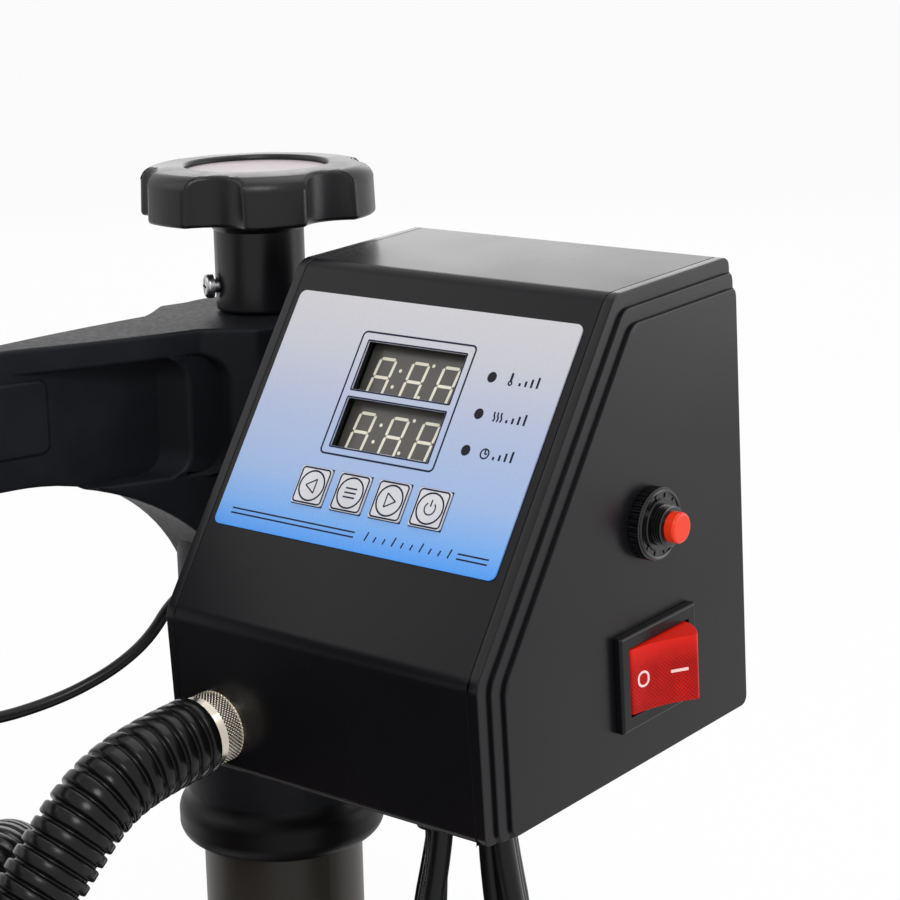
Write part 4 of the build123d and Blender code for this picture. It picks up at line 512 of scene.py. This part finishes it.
# %% Turning a bmesh into a piece
def add_piece(name, shape, place, body, finish, sharp=35.0):
    bmesh.ops.remove_doubles(shape, verts=shape.verts, dist=1e-5)
    shape.transform(place)
    bmesh.ops.recalc_face_normals(shape, faces=shape.faces)
    for face in shape.faces:
        face.smooth = True
    for edge in shape.edges:
        edge.smooth = edge.calc_face_angle(0.0) < math.radians(sharp)
    mesh = bpy.data.meshes.new(name)
    shape.to_mesh(mesh)
    shape.free()
    piece = bpy.data.objects.new(name, mesh)
    bpy.context.scene.collection.objects.link(piece)
    dress(piece, finish)
    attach(piece, body)
    return piece


def route_curve(name, points, radius=0.0):
    """A smooth cord line: a NURBS spline with the route's points as its controls, given in millimetres.

    The bevel's depth is in millimetres too, and each control's own radius scales it to metres.
    """
    curve = bpy.data.curves.new(name, "CURVE")
    curve.dimensions = "3D"
    curve.resolution_u = 12
    curve.bevel_depth = radius
    curve.bevel_resolution = 6
    curve.use_fill_caps = True
    spline = curve.splines.new("NURBS")
    spline.points.add(len(points) - 1)
    for control, point in zip(spline.points, points):
        control.co = (*[value * MM for value in point], 1.0)
        control.radius = MM
    spline.order_u = 3
    spline.use_endpoint_u = True
    piece = bpy.data.objects.new(name, curve)
    bpy.context.scene.collection.objects.link(piece)
    return piece


def read_line(piece):
    """The points of a curve's own line, in metres."""
    depth = piece.data.bevel_depth
    piece.data.bevel_depth = 0.0
    mesh = bpy.data.meshes.new_from_object(piece.evaluated_get(bpy.context.evaluated_depsgraph_get()))
    points = [vertex.co.copy() for vertex in mesh.vertices]
    bpy.data.meshes.remove(mesh)
    piece.data.bevel_depth = depth
    return points


def length_of(points):
    return sum((b - a).length for a, b in zip(points, points[1:]))


# %% [markdown]
# ## Round the edges of the CAD solids
# No casting, fold or moulding has a knife edge: light catches a thin line along each of them, and that line
# is most of what shows a black object's shape. A bevel modifier needs joined faces, and a CAD mesh is loose
# triangles, so each solid is copied, merged, its flat faces joined again, and its sharp edges bevelled. A
# joined face can be hollow in outline, which draws wrongly on the arm, so its faces are split once more. A
# fold of the box is a wider curve than its other edges, so it is rounded first, in a pass of its own.


# %% Rounded copies of CAD solids
def body_of(node):
    return next(body for body, nodes in frame["record"]["behaviour"]["bodies"].items() if node in nodes)


def sharp_edges(shape, degrees):
    """Edges that stick out. A sharp inner corner keeps its line, and is no place for a bevel."""
    turn = math.radians(degrees)
    return [edge for edge in shape.edges if edge.is_convex and edge.calc_face_angle(0.0) > turn]


def round_edges(shape, edges, radius, segments):
    bmesh.ops.bevel(shape, geom=edges, offset=radius * MM, segments=segments, profile=0.5, affect="EDGES",
                    material=-1, clamp_overlap=False)


def pull_back(shape, solid, reach):
    """A bevel can throw a point far off where many edges meet: such a point goes back to the solid."""
    strays = 0
    for vertex in shape.verts:
        near, normal, index, gap = solid.find_nearest(vertex.co)
        if gap > reach:
            vertex.co = near
            strays += 1
    return strays


def rounded_copy(node, finish, radius, segments=2, degrees=35.0, fold=0.0, reshape=None, split=False):
    """A merged copy of one CAD node with round edges, standing for it."""
    shape = bmesh.new()
    shape.from_mesh(frame["nodes"][node].data)
    bmesh.ops.remove_doubles(shape, verts=shape.verts, dist=1e-6)
    if reshape:
        reshape(shape)
    solid = BVHTree.FromBMesh(shape)
    bmesh.ops.dissolve_limit(shape, angle_limit=math.radians(0.5), verts=shape.verts, edges=shape.edges)
    if split:
        bmesh.ops.connect_verts_concave(shape, faces=shape.faces)
    if fold:
        folds = [edge for edge in sharp_edges(shape, FOLD_ANGLE) if is_fold(edge)]
        round_edges(shape, folds, fold, FOLD_SEGMENTS)
    round_edges(shape, sharp_edges(shape, degrees), radius, segments)
    strays = pull_back(shape, solid, max(radius, fold) * 0.8 * MM)
    piece = add_piece(node + "_rounded", shape, Matrix.Identity(4), body_of(node), finish)
    weighted = piece.modifiers.new("even_shading", "WEIGHTED_NORMAL")
    weighted.keep_sharp = True
    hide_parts(node)
    print(piece.name, len(piece.data.polygons), "faces,", strays, "points pulled back")
    return piece


def is_fold(edge):
    """Whether an edge is a long outer corner of the box, and not the rim of a hole or an inner wall."""
    along = (BOX.to_3x3() @ Vector((1, 0, 0))).normalized()
    way = (edge.verts[1].co - edge.verts[0].co).normalized()
    place = BOX.inverted() @ edge.verts[0].co
    corners = [(0, 0), (0, BOX_FRONT_HEIGHT), (BOX_TOP_SETBACK, BOX_HEIGHT), (BOX_DEPTH, BOX_HEIGHT),
               (BOX_DEPTH, 0)]
    near = min(math.hypot(place.y - y, place.z - z) for y, z in corners) < FOLD_REACH
    return abs(way.dot(along)) > 0.999 and near


def draft_pockets(shape):
    """Lean the rear wall of each pocket beside the web, as on a casting that has to leave its mould."""
    for vertex in shape.verts:
        place = MACHINE.inverted() @ vertex.co
        behind = POCKET_STEP - SLACK < -place.y < POCKET_STEP + POCKET_CORNER + SLACK
        on_web = abs(abs(place.x) - WEB_HALF) < SLACK
        if behind and on_web and POCKET_BOTTOM - SLACK < place.z < POCKET_TOP + SLACK:
            vertex.co.y -= POCKET_DRAFT * MM


FOLD_ANGLE = 20.0
FOLD_SEGMENTS = 4
FOLD_REACH = 12.0
SLACK = 0.05
POCKET_CORNER = 7.0
POCKET_BOTTOM = 60.0
POCKET_TOP = 93.4
POCKET_STEP = 34.5
POCKET_DRAFT = 5.0
WEB_HALF = 5.0
rounded_copy("swing_arm", cast_coat, 1.2, segments=3, reshape=draft_pockets, split=True)
rounded_copy("pressure_knob", knob_plastic, 1.2, segments=3)
for cap in ("side_cap_right", "side_cap_left"):
    rounded_copy(cap, cap_coat, 0.35, fold=2.5)
rounded_copy("box_shell", box_coat, 0.2, fold=2.5)
rounded_copy("switch_frame", switch_plastic, 0.3)
rounded_copy("rocker", rocker_red, 0.4)
rounded_copy("breaker_nut", nut_plastic, 0.2, segments=1)

# %% [markdown]
# ## Printed marks
# The panel's marks are screen printed: a layer of ink with its own edge. Each mark here is thin geometry,
# 0.05 mm thick, so it stays sharp at any distance. A mark is drawn flat from a circle, or a few corners,
# and raised by one extrusion. The lettering of the real panel is left out, and plain signs stand in its
# place: a thermometer, rays of heat, a clock, arrows, bars and a standby ring.


# %% Flat shapes for prints
INK_THICKNESS = 0.05
INK_SINK = 0.01
LABEL_THICKNESS = 0.4


def patch(shape, middle, half, corner, segments=24, filled=True):
    """A rectangle with round corners: a circle whose quarters are pushed apart."""
    made = bmesh.ops.create_circle(shape, cap_ends=filled, radius=corner, segments=segments,
                                   matrix=turned(180 / segments, "Z"))["verts"]
    for vertex in made:
        vertex.co.x += middle[0] + math.copysign(half[0] - corner, vertex.co.x)
        vertex.co.y += middle[1] + math.copysign(half[1] - corner, vertex.co.y)
    return made


def outline(shape, middle, half, corner, width):
    """The same rectangle as a line of ink, width inwards."""
    inner = (half[0] - width, half[1] - width)
    loops = [patch(shape, middle, half, corner, filled=False),
             patch(shape, middle, inner, max(corner - width, corner * 0.4), filled=False)]
    edges = {edge for loop in loops for vertex in loop for edge in vertex.link_edges}
    bmesh.ops.bridge_loops(shape, edges=list(edges))


def polygon(shape, points):
    shape.faces.new([shape.verts.new((x, y, 0)) for x, y in points])


def stroke(shape, start, end, width):
    """A straight line of ink with square ends."""
    start, end = Vector(start), Vector(end)
    aside = (end - start).normalized().orthogonal() * (width / 2)
    polygon(shape, [start + aside, start - aside, end - aside, end + aside])


def ink_piece(name, shape, place, body, finish):
    """Raise the flat marks by the ink's thickness and put them on their surface."""
    made = bmesh.ops.extrude_face_region(shape, geom=shape.faces[:], use_keep_orig=True)["geom"]
    raised = [item for item in made if isinstance(item, bmesh.types.BMVert)]
    bmesh.ops.translate(shape, verts=raised, vec=(0, 0, INK_THICKNESS))
    return add_piece(name, shape, place @ moved(0, 0, -INK_SINK), body, finish)


# %% Panel print
KEY_XS = [34.0 + 13.2 * index for index in range(4)]
KEY_HEIGHT = 40.2
LAMP_HEIGHTS = (76.3, 66.4, 56.6)
WINDOW_MIDDLE = 50.95
WINDOW_HALF = (16.35, 6.75)
WINDOW_HEIGHTS = (58.55, 74.45)


def thermometer(shape, x, y):
    outline(shape, (x, y), (0.7, 0.7), 0.68, 0.4)
    patch(shape, (x, y + 1.6), (0.36, 1.2), 0.34)


def heat_rays(shape, x, y):
    for step in (-1.1, 0.0, 1.1):
        points = [(x + step + 0.3 * math.sin(rise * 2.2), y - 0.5 + rise) for rise in (0.0, 0.85, 1.7, 2.55)]
        for start, end in zip(points, points[1:]):
            stroke(shape, start, end, 0.46)


def clock(shape, x, y):
    outline(shape, (x, y + 0.8), (1.45, 1.45), 1.44, 0.4)
    stroke(shape, (x, y + 0.8), (x, y + 1.8), 0.4)
    stroke(shape, (x, y + 0.8), (x + 0.8, y + 0.8), 0.4)


panel_print = bmesh.new()
outline(panel_print, (50.85, 66.65), (19.15, 17.35), 1.6, 0.5)
for height in WINDOW_HEIGHTS:
    outline(panel_print, (WINDOW_MIDDLE, height), (WINDOW_HALF[0] + 0.45, WINDOW_HALF[1] + 0.45), 0.5, 0.4)
for height in (30.6, 29.3):
    stroke(panel_print, (10.0, height), (52.8, height), 0.4)
    stroke(panel_print, (86.3, height), (95.9, height), 0.4)
for tick in range(10):
    x = 56.6 + tick * 3.0
    tall = 2.4 if tick % 3 == 0 else 1.5
    stroke(panel_print, (x, 29.0), (x + tall * 0.25, 29.0 + tall), 0.42)
for draw, height in zip((thermometer, heat_rays, clock), LAMP_HEIGHTS):
    draw(panel_print, 83.6, height - 0.9)
    for step in range(4):
        x = 86.6 + step * 1.8
        stroke(panel_print, (x, height - 1.3), (x, height - 0.5 + 0.7 * step), 0.62)
ink_piece("panel_print", panel_print, SLOPE @ moved(0, 0, LABEL_THICKNESS), "arm", ink)

# %% [markdown]
# ## Key marks
# Each key is a domed blister in the film with a printed square and ring. The signs are on the keys, so they
# ride on them and sink when a key is pressed.

# %% Key marks
KEY_TOP = 0.95


def arrow_left(shape, x, y):
    for start, end in (((-2.0, 0), (1.2, 1.9)), ((1.2, 1.9), (1.2, -1.9)), ((1.2, -1.9), (-2.0, 0))):
        stroke(shape, (x + start[0], y + start[1]), (x + end[0], y + end[1]), 0.36)


def arrow_right(shape, x, y):
    for start, end in (((2.0, 0), (-1.2, 1.9)), ((-1.2, 1.9), (-1.2, -1.9)), ((-1.2, -1.9), (2.0, 0))):
        stroke(shape, (x + start[0], y + start[1]), (x + end[0], y + end[1]), 0.36)


def three_bars(shape, x, y):
    for rise in (-1.2, 0.0, 1.2):
        stroke(shape, (x - 1.9, y + rise), (x + 1.9, y + rise), 0.42)


def standby(shape, x, y):
    turns = [math.radians(40 + 28 * step) for step in range(11)]
    points = [(x + 1.7 * math.sin(turn), y + 1.7 * math.cos(turn)) for turn in turns]
    for start, end in zip(points, points[1:]):
        stroke(shape, start, end, 0.36)
    stroke(shape, (x, y + 0.5), (x, y + 2.3), 0.4)


for number, (x, draw) in enumerate(zip(KEY_XS, (arrow_left, three_bars, arrow_right, standby)), 1):
    key_print = bmesh.new()
    outline(key_print, (x, KEY_HEIGHT), (4.95, 4.95), 1.2, 0.44)
    outline(key_print, (x, KEY_HEIGHT), (4.3, 4.3), 4.29, 0.46)
    draw(key_print, x, KEY_HEIGHT)
    ink_piece("key_mark_" + str(number), key_print, SLOPE @ moved(0, 0, KEY_TOP), "key_" + str(number), ink)

# %% [markdown]
# ## The digits
# Behind each window lies a block of three seven-segment digits, unlit, so that their cream bars show on a
# dark face. A bar is a six-sided strip with pointed ends, which leaves the thin slanted gap between bars.

# %% Seven-segment digits
MODULE_SINK = 3.4
DIGIT_WIDTH = 6.0
DIGIT_HEIGHT = 11.2
DIGIT_LEAN = 1.1
BAR_HALF = 0.42
BAR_GAP = 0.14
DISPLAY = SLOPE @ moved(-0.84 * MODULE_SINK, 0.284 * MODULE_SINK, LABEL_THICKNESS - MODULE_SINK)


def bar(shape, start, end, origin):
    """One bar from corner to corner of a digit, pointed at both ends, leaning with the digit."""
    way = (Vector(end) - Vector(start)).normalized()
    aside = Vector((-way.y, way.x)) * BAR_HALF
    first, last = Vector(start) + way * BAR_GAP, Vector(end) - way * BAR_GAP
    inner_first, inner_last = first + way * BAR_HALF, last - way * BAR_HALF
    points = [first, inner_first - aside, inner_last - aside, last, inner_last + aside, inner_first + aside]
    polygon(shape, [(origin[0] + p.x + DIGIT_LEAN * p.y / DIGIT_HEIGHT, origin[1] + p.y) for p in points])


def digit(shape, left, top):
    low, middle, high = BAR_HALF, DIGIT_HEIGHT / 2, DIGIT_HEIGHT - BAR_HALF
    near, far = BAR_HALF, DIGIT_WIDTH - BAR_HALF
    for height in (low, middle, high):
        bar(shape, (near, height), (far, height), (left, top - DIGIT_HEIGHT))
    for x in (near, far):
        bar(shape, (x, low), (x, middle), (left, top - DIGIT_HEIGHT))
        bar(shape, (x, middle), (x, high), (left, top - DIGIT_HEIGHT))


digits = bmesh.new()
for top, dots in ((77.6, ((48.2, 74.5), (47.4, 69.9), (58.3, 77.1), (57.0, 68.1))),
                  (62.2, ((48.4, 59.3), (47.8, 54.6), (58.5, 61.9), (57.3, 52.8)))):
    for left in (39.1, 50.2, 60.5):
        digit(digits, left, top)
    for x, y in dots:
        patch(digits, (x, y), (0.5, 0.5), 0.49, segments=16)
ink_piece("display_digits", digits, DISPLAY, "arm", segment_cream)
print("digits", DIGIT_HEIGHT, "mm high,", MODULE_SINK, "mm behind the film")

# %% [markdown]
# ## Marks on the rocker
# The ring and the bar are printed on a face that is slightly hollow, so after the flat marks are raised
# every point sinks to the face's own curve. They ride on the rocker and turn with it.

# %% Rocker marks
ROCKER_FACE = 8.3
ROCKER_HOLLOW = 1.4
ROCKER_HOLLOW_RADIUS = 34.0


def face_height(along):
    """How far the hollow face stands from the rocker's axis, at a distance along it."""
    rise = math.sqrt(ROCKER_HOLLOW_RADIUS ** 2 - along ** 2)
    return ROCKER_FACE + ROCKER_HOLLOW_RADIUS - ROCKER_HOLLOW - rise


rocker_marks = bmesh.new()
outline(rocker_marks, (-5.9, 0), (1.9, 2.2), 1.89, 0.6)
patch(rocker_marks, (4.8, 0), (2.4, 0.4), 0.2)
made = bmesh.ops.extrude_face_region(rocker_marks, geom=rocker_marks.faces[:], use_keep_orig=True)["geom"]
raised = [item for item in made if isinstance(item, bmesh.types.BMVert)]
bmesh.ops.translate(rocker_marks, verts=raised, vec=(0, 0, INK_THICKNESS))
for vertex in rocker_marks.verts:
    vertex.co.z += face_height(vertex.co.x) - INK_SINK
add_piece("rocker_marks", rocker_marks, ROCKER, "rocker", mark_white)

# %% [markdown]
# ## Knurls and threads
# A diamond knurl is two sets of slanted grooves rolled across each other. A grid is wrapped round the nut,
# and each of its points stands as high as the lower of two slanted waves, which leaves a field of small
# pyramids. The breaker's neck has a fine thread, and a turned profile gives its round rings. Its nut has
# a raised rim and short ribs on its face.


# %% Diamond knurls
def knurl_band(name, place, body, finish, radius, ends, diamonds, depth):
    length = ends[1] - ends[0]
    rows = max(1, round(length * diamonds / (2 * math.pi * radius)))
    band = bmesh.new()
    bmesh.ops.create_grid(band, x_segments=4 * diamonds, y_segments=4 * rows, size=0.5)
    for vertex in band.verts:
        around, share = vertex.co.x + 0.5, vertex.co.y + 0.5
        waves = [(around * diamonds + side * share * rows) % 1.0 for side in (1, -1)]
        rise = depth * min(1 - abs(2 * wave - 1) for wave in waves)
        turn = 2 * math.pi * around
        out = radius + rise
        vertex.co = (out * math.cos(turn), out * math.sin(turn), ends[0] + share * length)
    return add_piece(name, band, place, body, finish, sharp=60.0)


FITTING_X = 17.0
FITTING_Z = 13.0
PLATEN_FITTING_X = 46.0
PLATEN_FITTING_Z = 193.5
PLATEN_REAR = -8.0
KNURL_RADIUS = 9.12
KNURL_ENDS = (1.2, 6.6)
KNURL_DIAMONDS = 56
KNURL_DEPTH = 0.45
BOX_FITTING = BOX @ moved(FITTING_X, 0, FITTING_Z) @ turned(90, "X")
PLATEN_FITTING = SCENE @ moved(PLATEN_FITTING_X, PLATEN_REAR, PLATEN_FITTING_Z) @ turned(-90, "X")
fittings = (("box_fitting_knurl", BOX_FITTING, "arm"), ("platen_fitting_knurl", PLATEN_FITTING, "platen"))
for name, place, body in fittings:
    knurl_band(name, place, body, nickel, KNURL_RADIUS, KNURL_ENDS, KNURL_DIAMONDS, KNURL_DEPTH)


# %% Breaker thread
def lathe(name, profile, place, body, finish, steps=48):
    """A profile of (radius, height) turned once round its own Z axis."""
    turned_shape = bmesh.new()
    points = [turned_shape.verts.new((radius, 0, height)) for radius, height in profile]
    edges = [turned_shape.edges.new(pair) for pair in zip(points, points[1:])]
    bmesh.ops.spin(turned_shape, geom=points + edges, cent=(0, 0, 0), axis=(0, 0, 1), dvec=(0, 0, 0),
                   angle=2 * math.pi, steps=steps, use_merge=True, use_duplicate=False)
    return add_piece(name, turned_shape, place, body, finish)


BREAKER = RIGHT_SIDE @ moved(68.1, 63.35, 0)
NUT_FACE = 3.5
NUT_RIBS = 12
RIB_SIZE = (1.1, 0.7, 0.6, 1.0)
THREAD_START = 4.3
THREAD_PITCH = 0.76
THREAD_TURNS = 4
ring = ((4.72, 0.0), (5.0, 0.06), (5.3, 0.22), (5.3, 0.34), (5.0, 0.5), (4.72, 0.56))
thread = [(radius, THREAD_START + THREAD_PITCH * turn + rise) for turn in range(THREAD_TURNS)
          for radius, rise in ring]
lathe("breaker_thread", thread, BREAKER, "arm", nut_plastic)
rim_profile = ((9.0, -0.1), (8.9, 0.25), (8.6, 0.4), (8.2, 0.25), (8.1, -0.1))
rim = [(radius, NUT_FACE + rise) for radius, rise in rim_profile]
lathe("breaker_rim", rim, BREAKER, "arm", nut_plastic)
nut_ribs = bmesh.new()
for rib in range(NUT_RIBS):
    place = turned(rib * 360 / NUT_RIBS + 10, "Z") @ moved(7.45, 0, NUT_FACE)
    bmesh.ops.create_cube(nut_ribs, size=1.0, matrix=place @ Matrix.Diagonal(RIB_SIZE))
add_piece("breaker_ribs", nut_ribs, BREAKER, "arm", nut_plastic)
print("breaker thread", THREAD_TURNS, "rings, nut face", NUT_RIBS, "ribs")

# %% [markdown]
# ## The corrugated hose
# The heater's wires run in a ribbed plastic conduit from the box to the hot platen. Each rib has a flat
# top with rounded shoulders, and the grooves between are narrow, so a plain curve won't do. Rings are set
# along the route's own smooth line, a few for each rib, and neighbouring rings are bridged. The platen
# slides under the arm, but the hose is one fixed mesh between its two fittings, riding on neither body.

# %% Hose
HOSE_RADIUS = 10.6
HOSE_GROOVE = 9.2
HOSE_PITCH = 4.0
HOSE_SEGMENTS = 36
FITTING_LENGTH = 9.0
HOSE_LEAD = 16
HOSE_TAIL = 12
HOSE_BEND = [(78.6, -106.5, 1.5), (79.0, -120.5, -13.5), (78.5, -139.0, -35.0), (74.0, -150.0, -62.0),
             (64.0, -147.0, -92.0), (48.0, -132.0, -114.0), (29.0, -112.0, -123.0), (11.0, -93.0, -117.0),
             (-2.0, -80.0, -100.0), (-8.0, -76.0, -78.0), (-4.0, -83.0, -56.0), (8.0, -95.0, -42.0),
             (30.0, -108.0, -29.5), (42.0, -120.0, -27.5), (47.5, -134.0, -31.5)]
RIB = [(0.0, HOSE_GROOVE), (0.08, HOSE_GROOVE), (0.14, 10.2), (0.2, 10.5), (0.28, HOSE_RADIUS),
       (0.72, HOSE_RADIUS), (0.8, 10.5), (0.86, 10.2), (0.92, HOSE_GROOVE)]


def machine_route(points):
    return [(x, y + POST_Y, z + BOX_FOOT_HEIGHT) for x, y, z in points]


def box_route(x, y, z):
    return tuple(value / MM for value in BOX @ Vector((x, y, z)))


def rings_along(points, stations, segments):
    """A skin of rings, each (distance along the points, radius), in metres, square to the line."""
    shape = bmesh.new()
    steady = Vector((0, 0, 1))
    travelled = 0.0
    step = 0
    last = []
    for distance, radius in stations:
        while step < len(points) - 2 and travelled + (points[step + 1] - points[step]).length < distance:
            travelled += (points[step + 1] - points[step]).length
            step += 1
        run = points[step + 1] - points[step]
        after = points[min(step + 2, len(points) - 1)] - points[step + 1]
        share = min(1.0, (distance - travelled) / run.length)
        before = points[step] - points[max(step - 1, 0)]
        ahead = run.normalized()
        start_way = (ahead + before.normalized()).normalized() if step else ahead
        end_way = (ahead + after.normalized()).normalized() if after.length > 0 else ahead
        way = start_way.lerp(end_way, share).normalized()
        steady = (steady - way * steady.dot(way)).normalized()
        turn = Matrix((steady, way.cross(steady), way)).transposed().to_4x4()
        place = Matrix.Translation(points[step].lerp(points[step + 1], share)) @ turn
        ring = bmesh.ops.create_circle(shape, radius=radius, segments=segments, matrix=place, cap_ends=False)
        edges = {edge for vertex in ring["verts"] for edge in vertex.link_edges}
        if last:
            bmesh.ops.bridge_loops(shape, edges=list(edges) + last)
            edges = {edge for edge in edges if edge.is_valid}
        last = list(edges)
    return shape


hose_start = [box_route(FITTING_X, -FITTING_LENGTH - out, FITTING_Z) for out in (0, HOSE_LEAD)]
hose_end = [(PLATEN_FITTING_X, PLATEN_REAR + FITTING_LENGTH + out, PLATEN_FITTING_Z) for out in (HOSE_TAIL, 0)]
hose_line = route_curve("hose_line", hose_start + machine_route(HOSE_BEND) + hose_end)
hose_points = read_line(hose_line)
bpy.data.objects.remove(hose_line)
hose_length = length_of(hose_points)
ribs = int(hose_length / (HOSE_PITCH * MM))
stations = [((rib + share) * hose_length / ribs, radius * MM) for rib in range(ribs) for share, radius in RIB]
stations.append((hose_length, HOSE_GROOVE * MM))
hose_shape = rings_along(hose_points, stations, HOSE_SEGMENTS)
hose = add_piece("hose", hose_shape, Matrix.Identity(4), "arm", hose_plastic, sharp=80.0)
hose.parent = None
del hose["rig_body"]
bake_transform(hose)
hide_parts("corrugated_hose")
print("hose", round(hose_length * 1000, 1), "mm,", ribs, "ribs")

# %% [markdown]
# ## The thin cable and the mains cord
# A thin round cable leaves the box's left side for the limit switch under the arm, and sags a little. The
# mains cord leaves the bottom of the box and is tied up in a hank. Both are single smooth curves with a
# round section. The hank's turns are points of the cord's own line.

# %% Sensor cable
SENSOR_RADIUS = 1.65
SENSOR_BEND = [(25.5, -50.5, 28.5), (20.0, -54.8, 17.5), (16.0, -63.0, 10.0), (12.0, -74.0, 4.5),
               (9.0, -85.0, 1.5), (7.0, -97.0, 0.2), (6.0, -113.0, 1.5), (5.5, -130.0, 5.5),
               (5.0, -148.0, 10.5), (5.0, -168.0, 16.5), (5.0, -190.0, 23.0), (5.0, -212.0, 28.0)]
sensor_start = [box_route(-4.0 - out, 28.0, 38.0) for out in (0, 12)]
sensor_end = [(5.0, POST_Y - 247.0 + out, BOX_FOOT_HEIGHT + 31.0) for out in (15, 0)]
sensor_route = sensor_start + machine_route(SENSOR_BEND) + sensor_end
sensor_cable = route_curve("sensor_cord", sensor_route, SENSOR_RADIUS)
dress(sensor_cable, cord_plastic)
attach(sensor_cable, "arm")
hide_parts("sensor_cable")
sensor_length = length_of(read_line(sensor_cable))
[v * MM for v in sensor_start[0]]
print("sensor cable", round(sensor_length * 1000, 1), "mm")

# %% Mains hank
CORD_RADIUS = 3.25
GLAND_X = 50.7
GLAND_Y = 72.0
GLAND_LENGTH = 5.0
HANK_LOOPS = 5
HANK_PITCH = 7.8
HANK_WAIST = (7.5, 4.0)
HANK_FOOT = (20.0, 12.0)
HANK_HEAD = (14.0, 12.0)
HANK_UP = 20.0
HANK_DOWN = 74.0
HANK_FIRST = -HANK_LOOPS * HANK_PITCH / 2
HANK_TAIL = 12.0
HANK_TURN = 52.0
gland_end = Vector(box_route(GLAND_X, GLAND_Y, -GLAND_LENGTH))
hank_top = moved(gland_end.x, gland_end.y, BOX_FOOT_HEIGHT - 30.0)
HANK = hank_top @ turned(HANK_TURN, "Z") @ moved(-9.0, -HANK_FIRST, 0)


def hank_points():
    """The hank's corners: wide and narrow loops in turn, each climbing to the next on its last long run."""
    points = []
    for loop in range(HANK_LOOPS):
        size = loop % 2
        other = 1 - size
        here = HANK_FIRST + loop * HANK_PITCH
        after = here + HANK_PITCH
        points += [(HANK_WAIST[size], here, 0), (HANK_FOOT[size], here, -HANK_DOWN),
                   (-HANK_FOOT[size], here, -HANK_DOWN), (-HANK_WAIST[other], after, 0),
                   (-HANK_HEAD[other], after, HANK_UP), (HANK_HEAD[other], after, HANK_UP)]
    last = HANK_FIRST + HANK_LOOPS * HANK_PITCH
    waist, foot = HANK_WAIST[HANK_LOOPS % 2], HANK_FOOT[HANK_LOOPS % 2]
    points += [(waist, last, 0), (foot, last, -HANK_DOWN), (foot, last, -HANK_DOWN - HANK_TAIL)]
    return [tuple(HANK @ Vector(point)) for point in points]


mains_start = [box_route(GLAND_X, GLAND_Y, -GLAND_LENGTH - out) for out in (0, 8)]
mains_cord = route_curve("mains_cord", mains_start + hank_points(), CORD_RADIUS)
dress(mains_cord, cord_plastic)
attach(mains_cord, "arm")
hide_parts("mains_hank")
mains_length = length_of(read_line(mains_cord))
[v * MM for v in mains_start[0]]
print("mains cord", round(mains_length * 1000, 1), "mm")
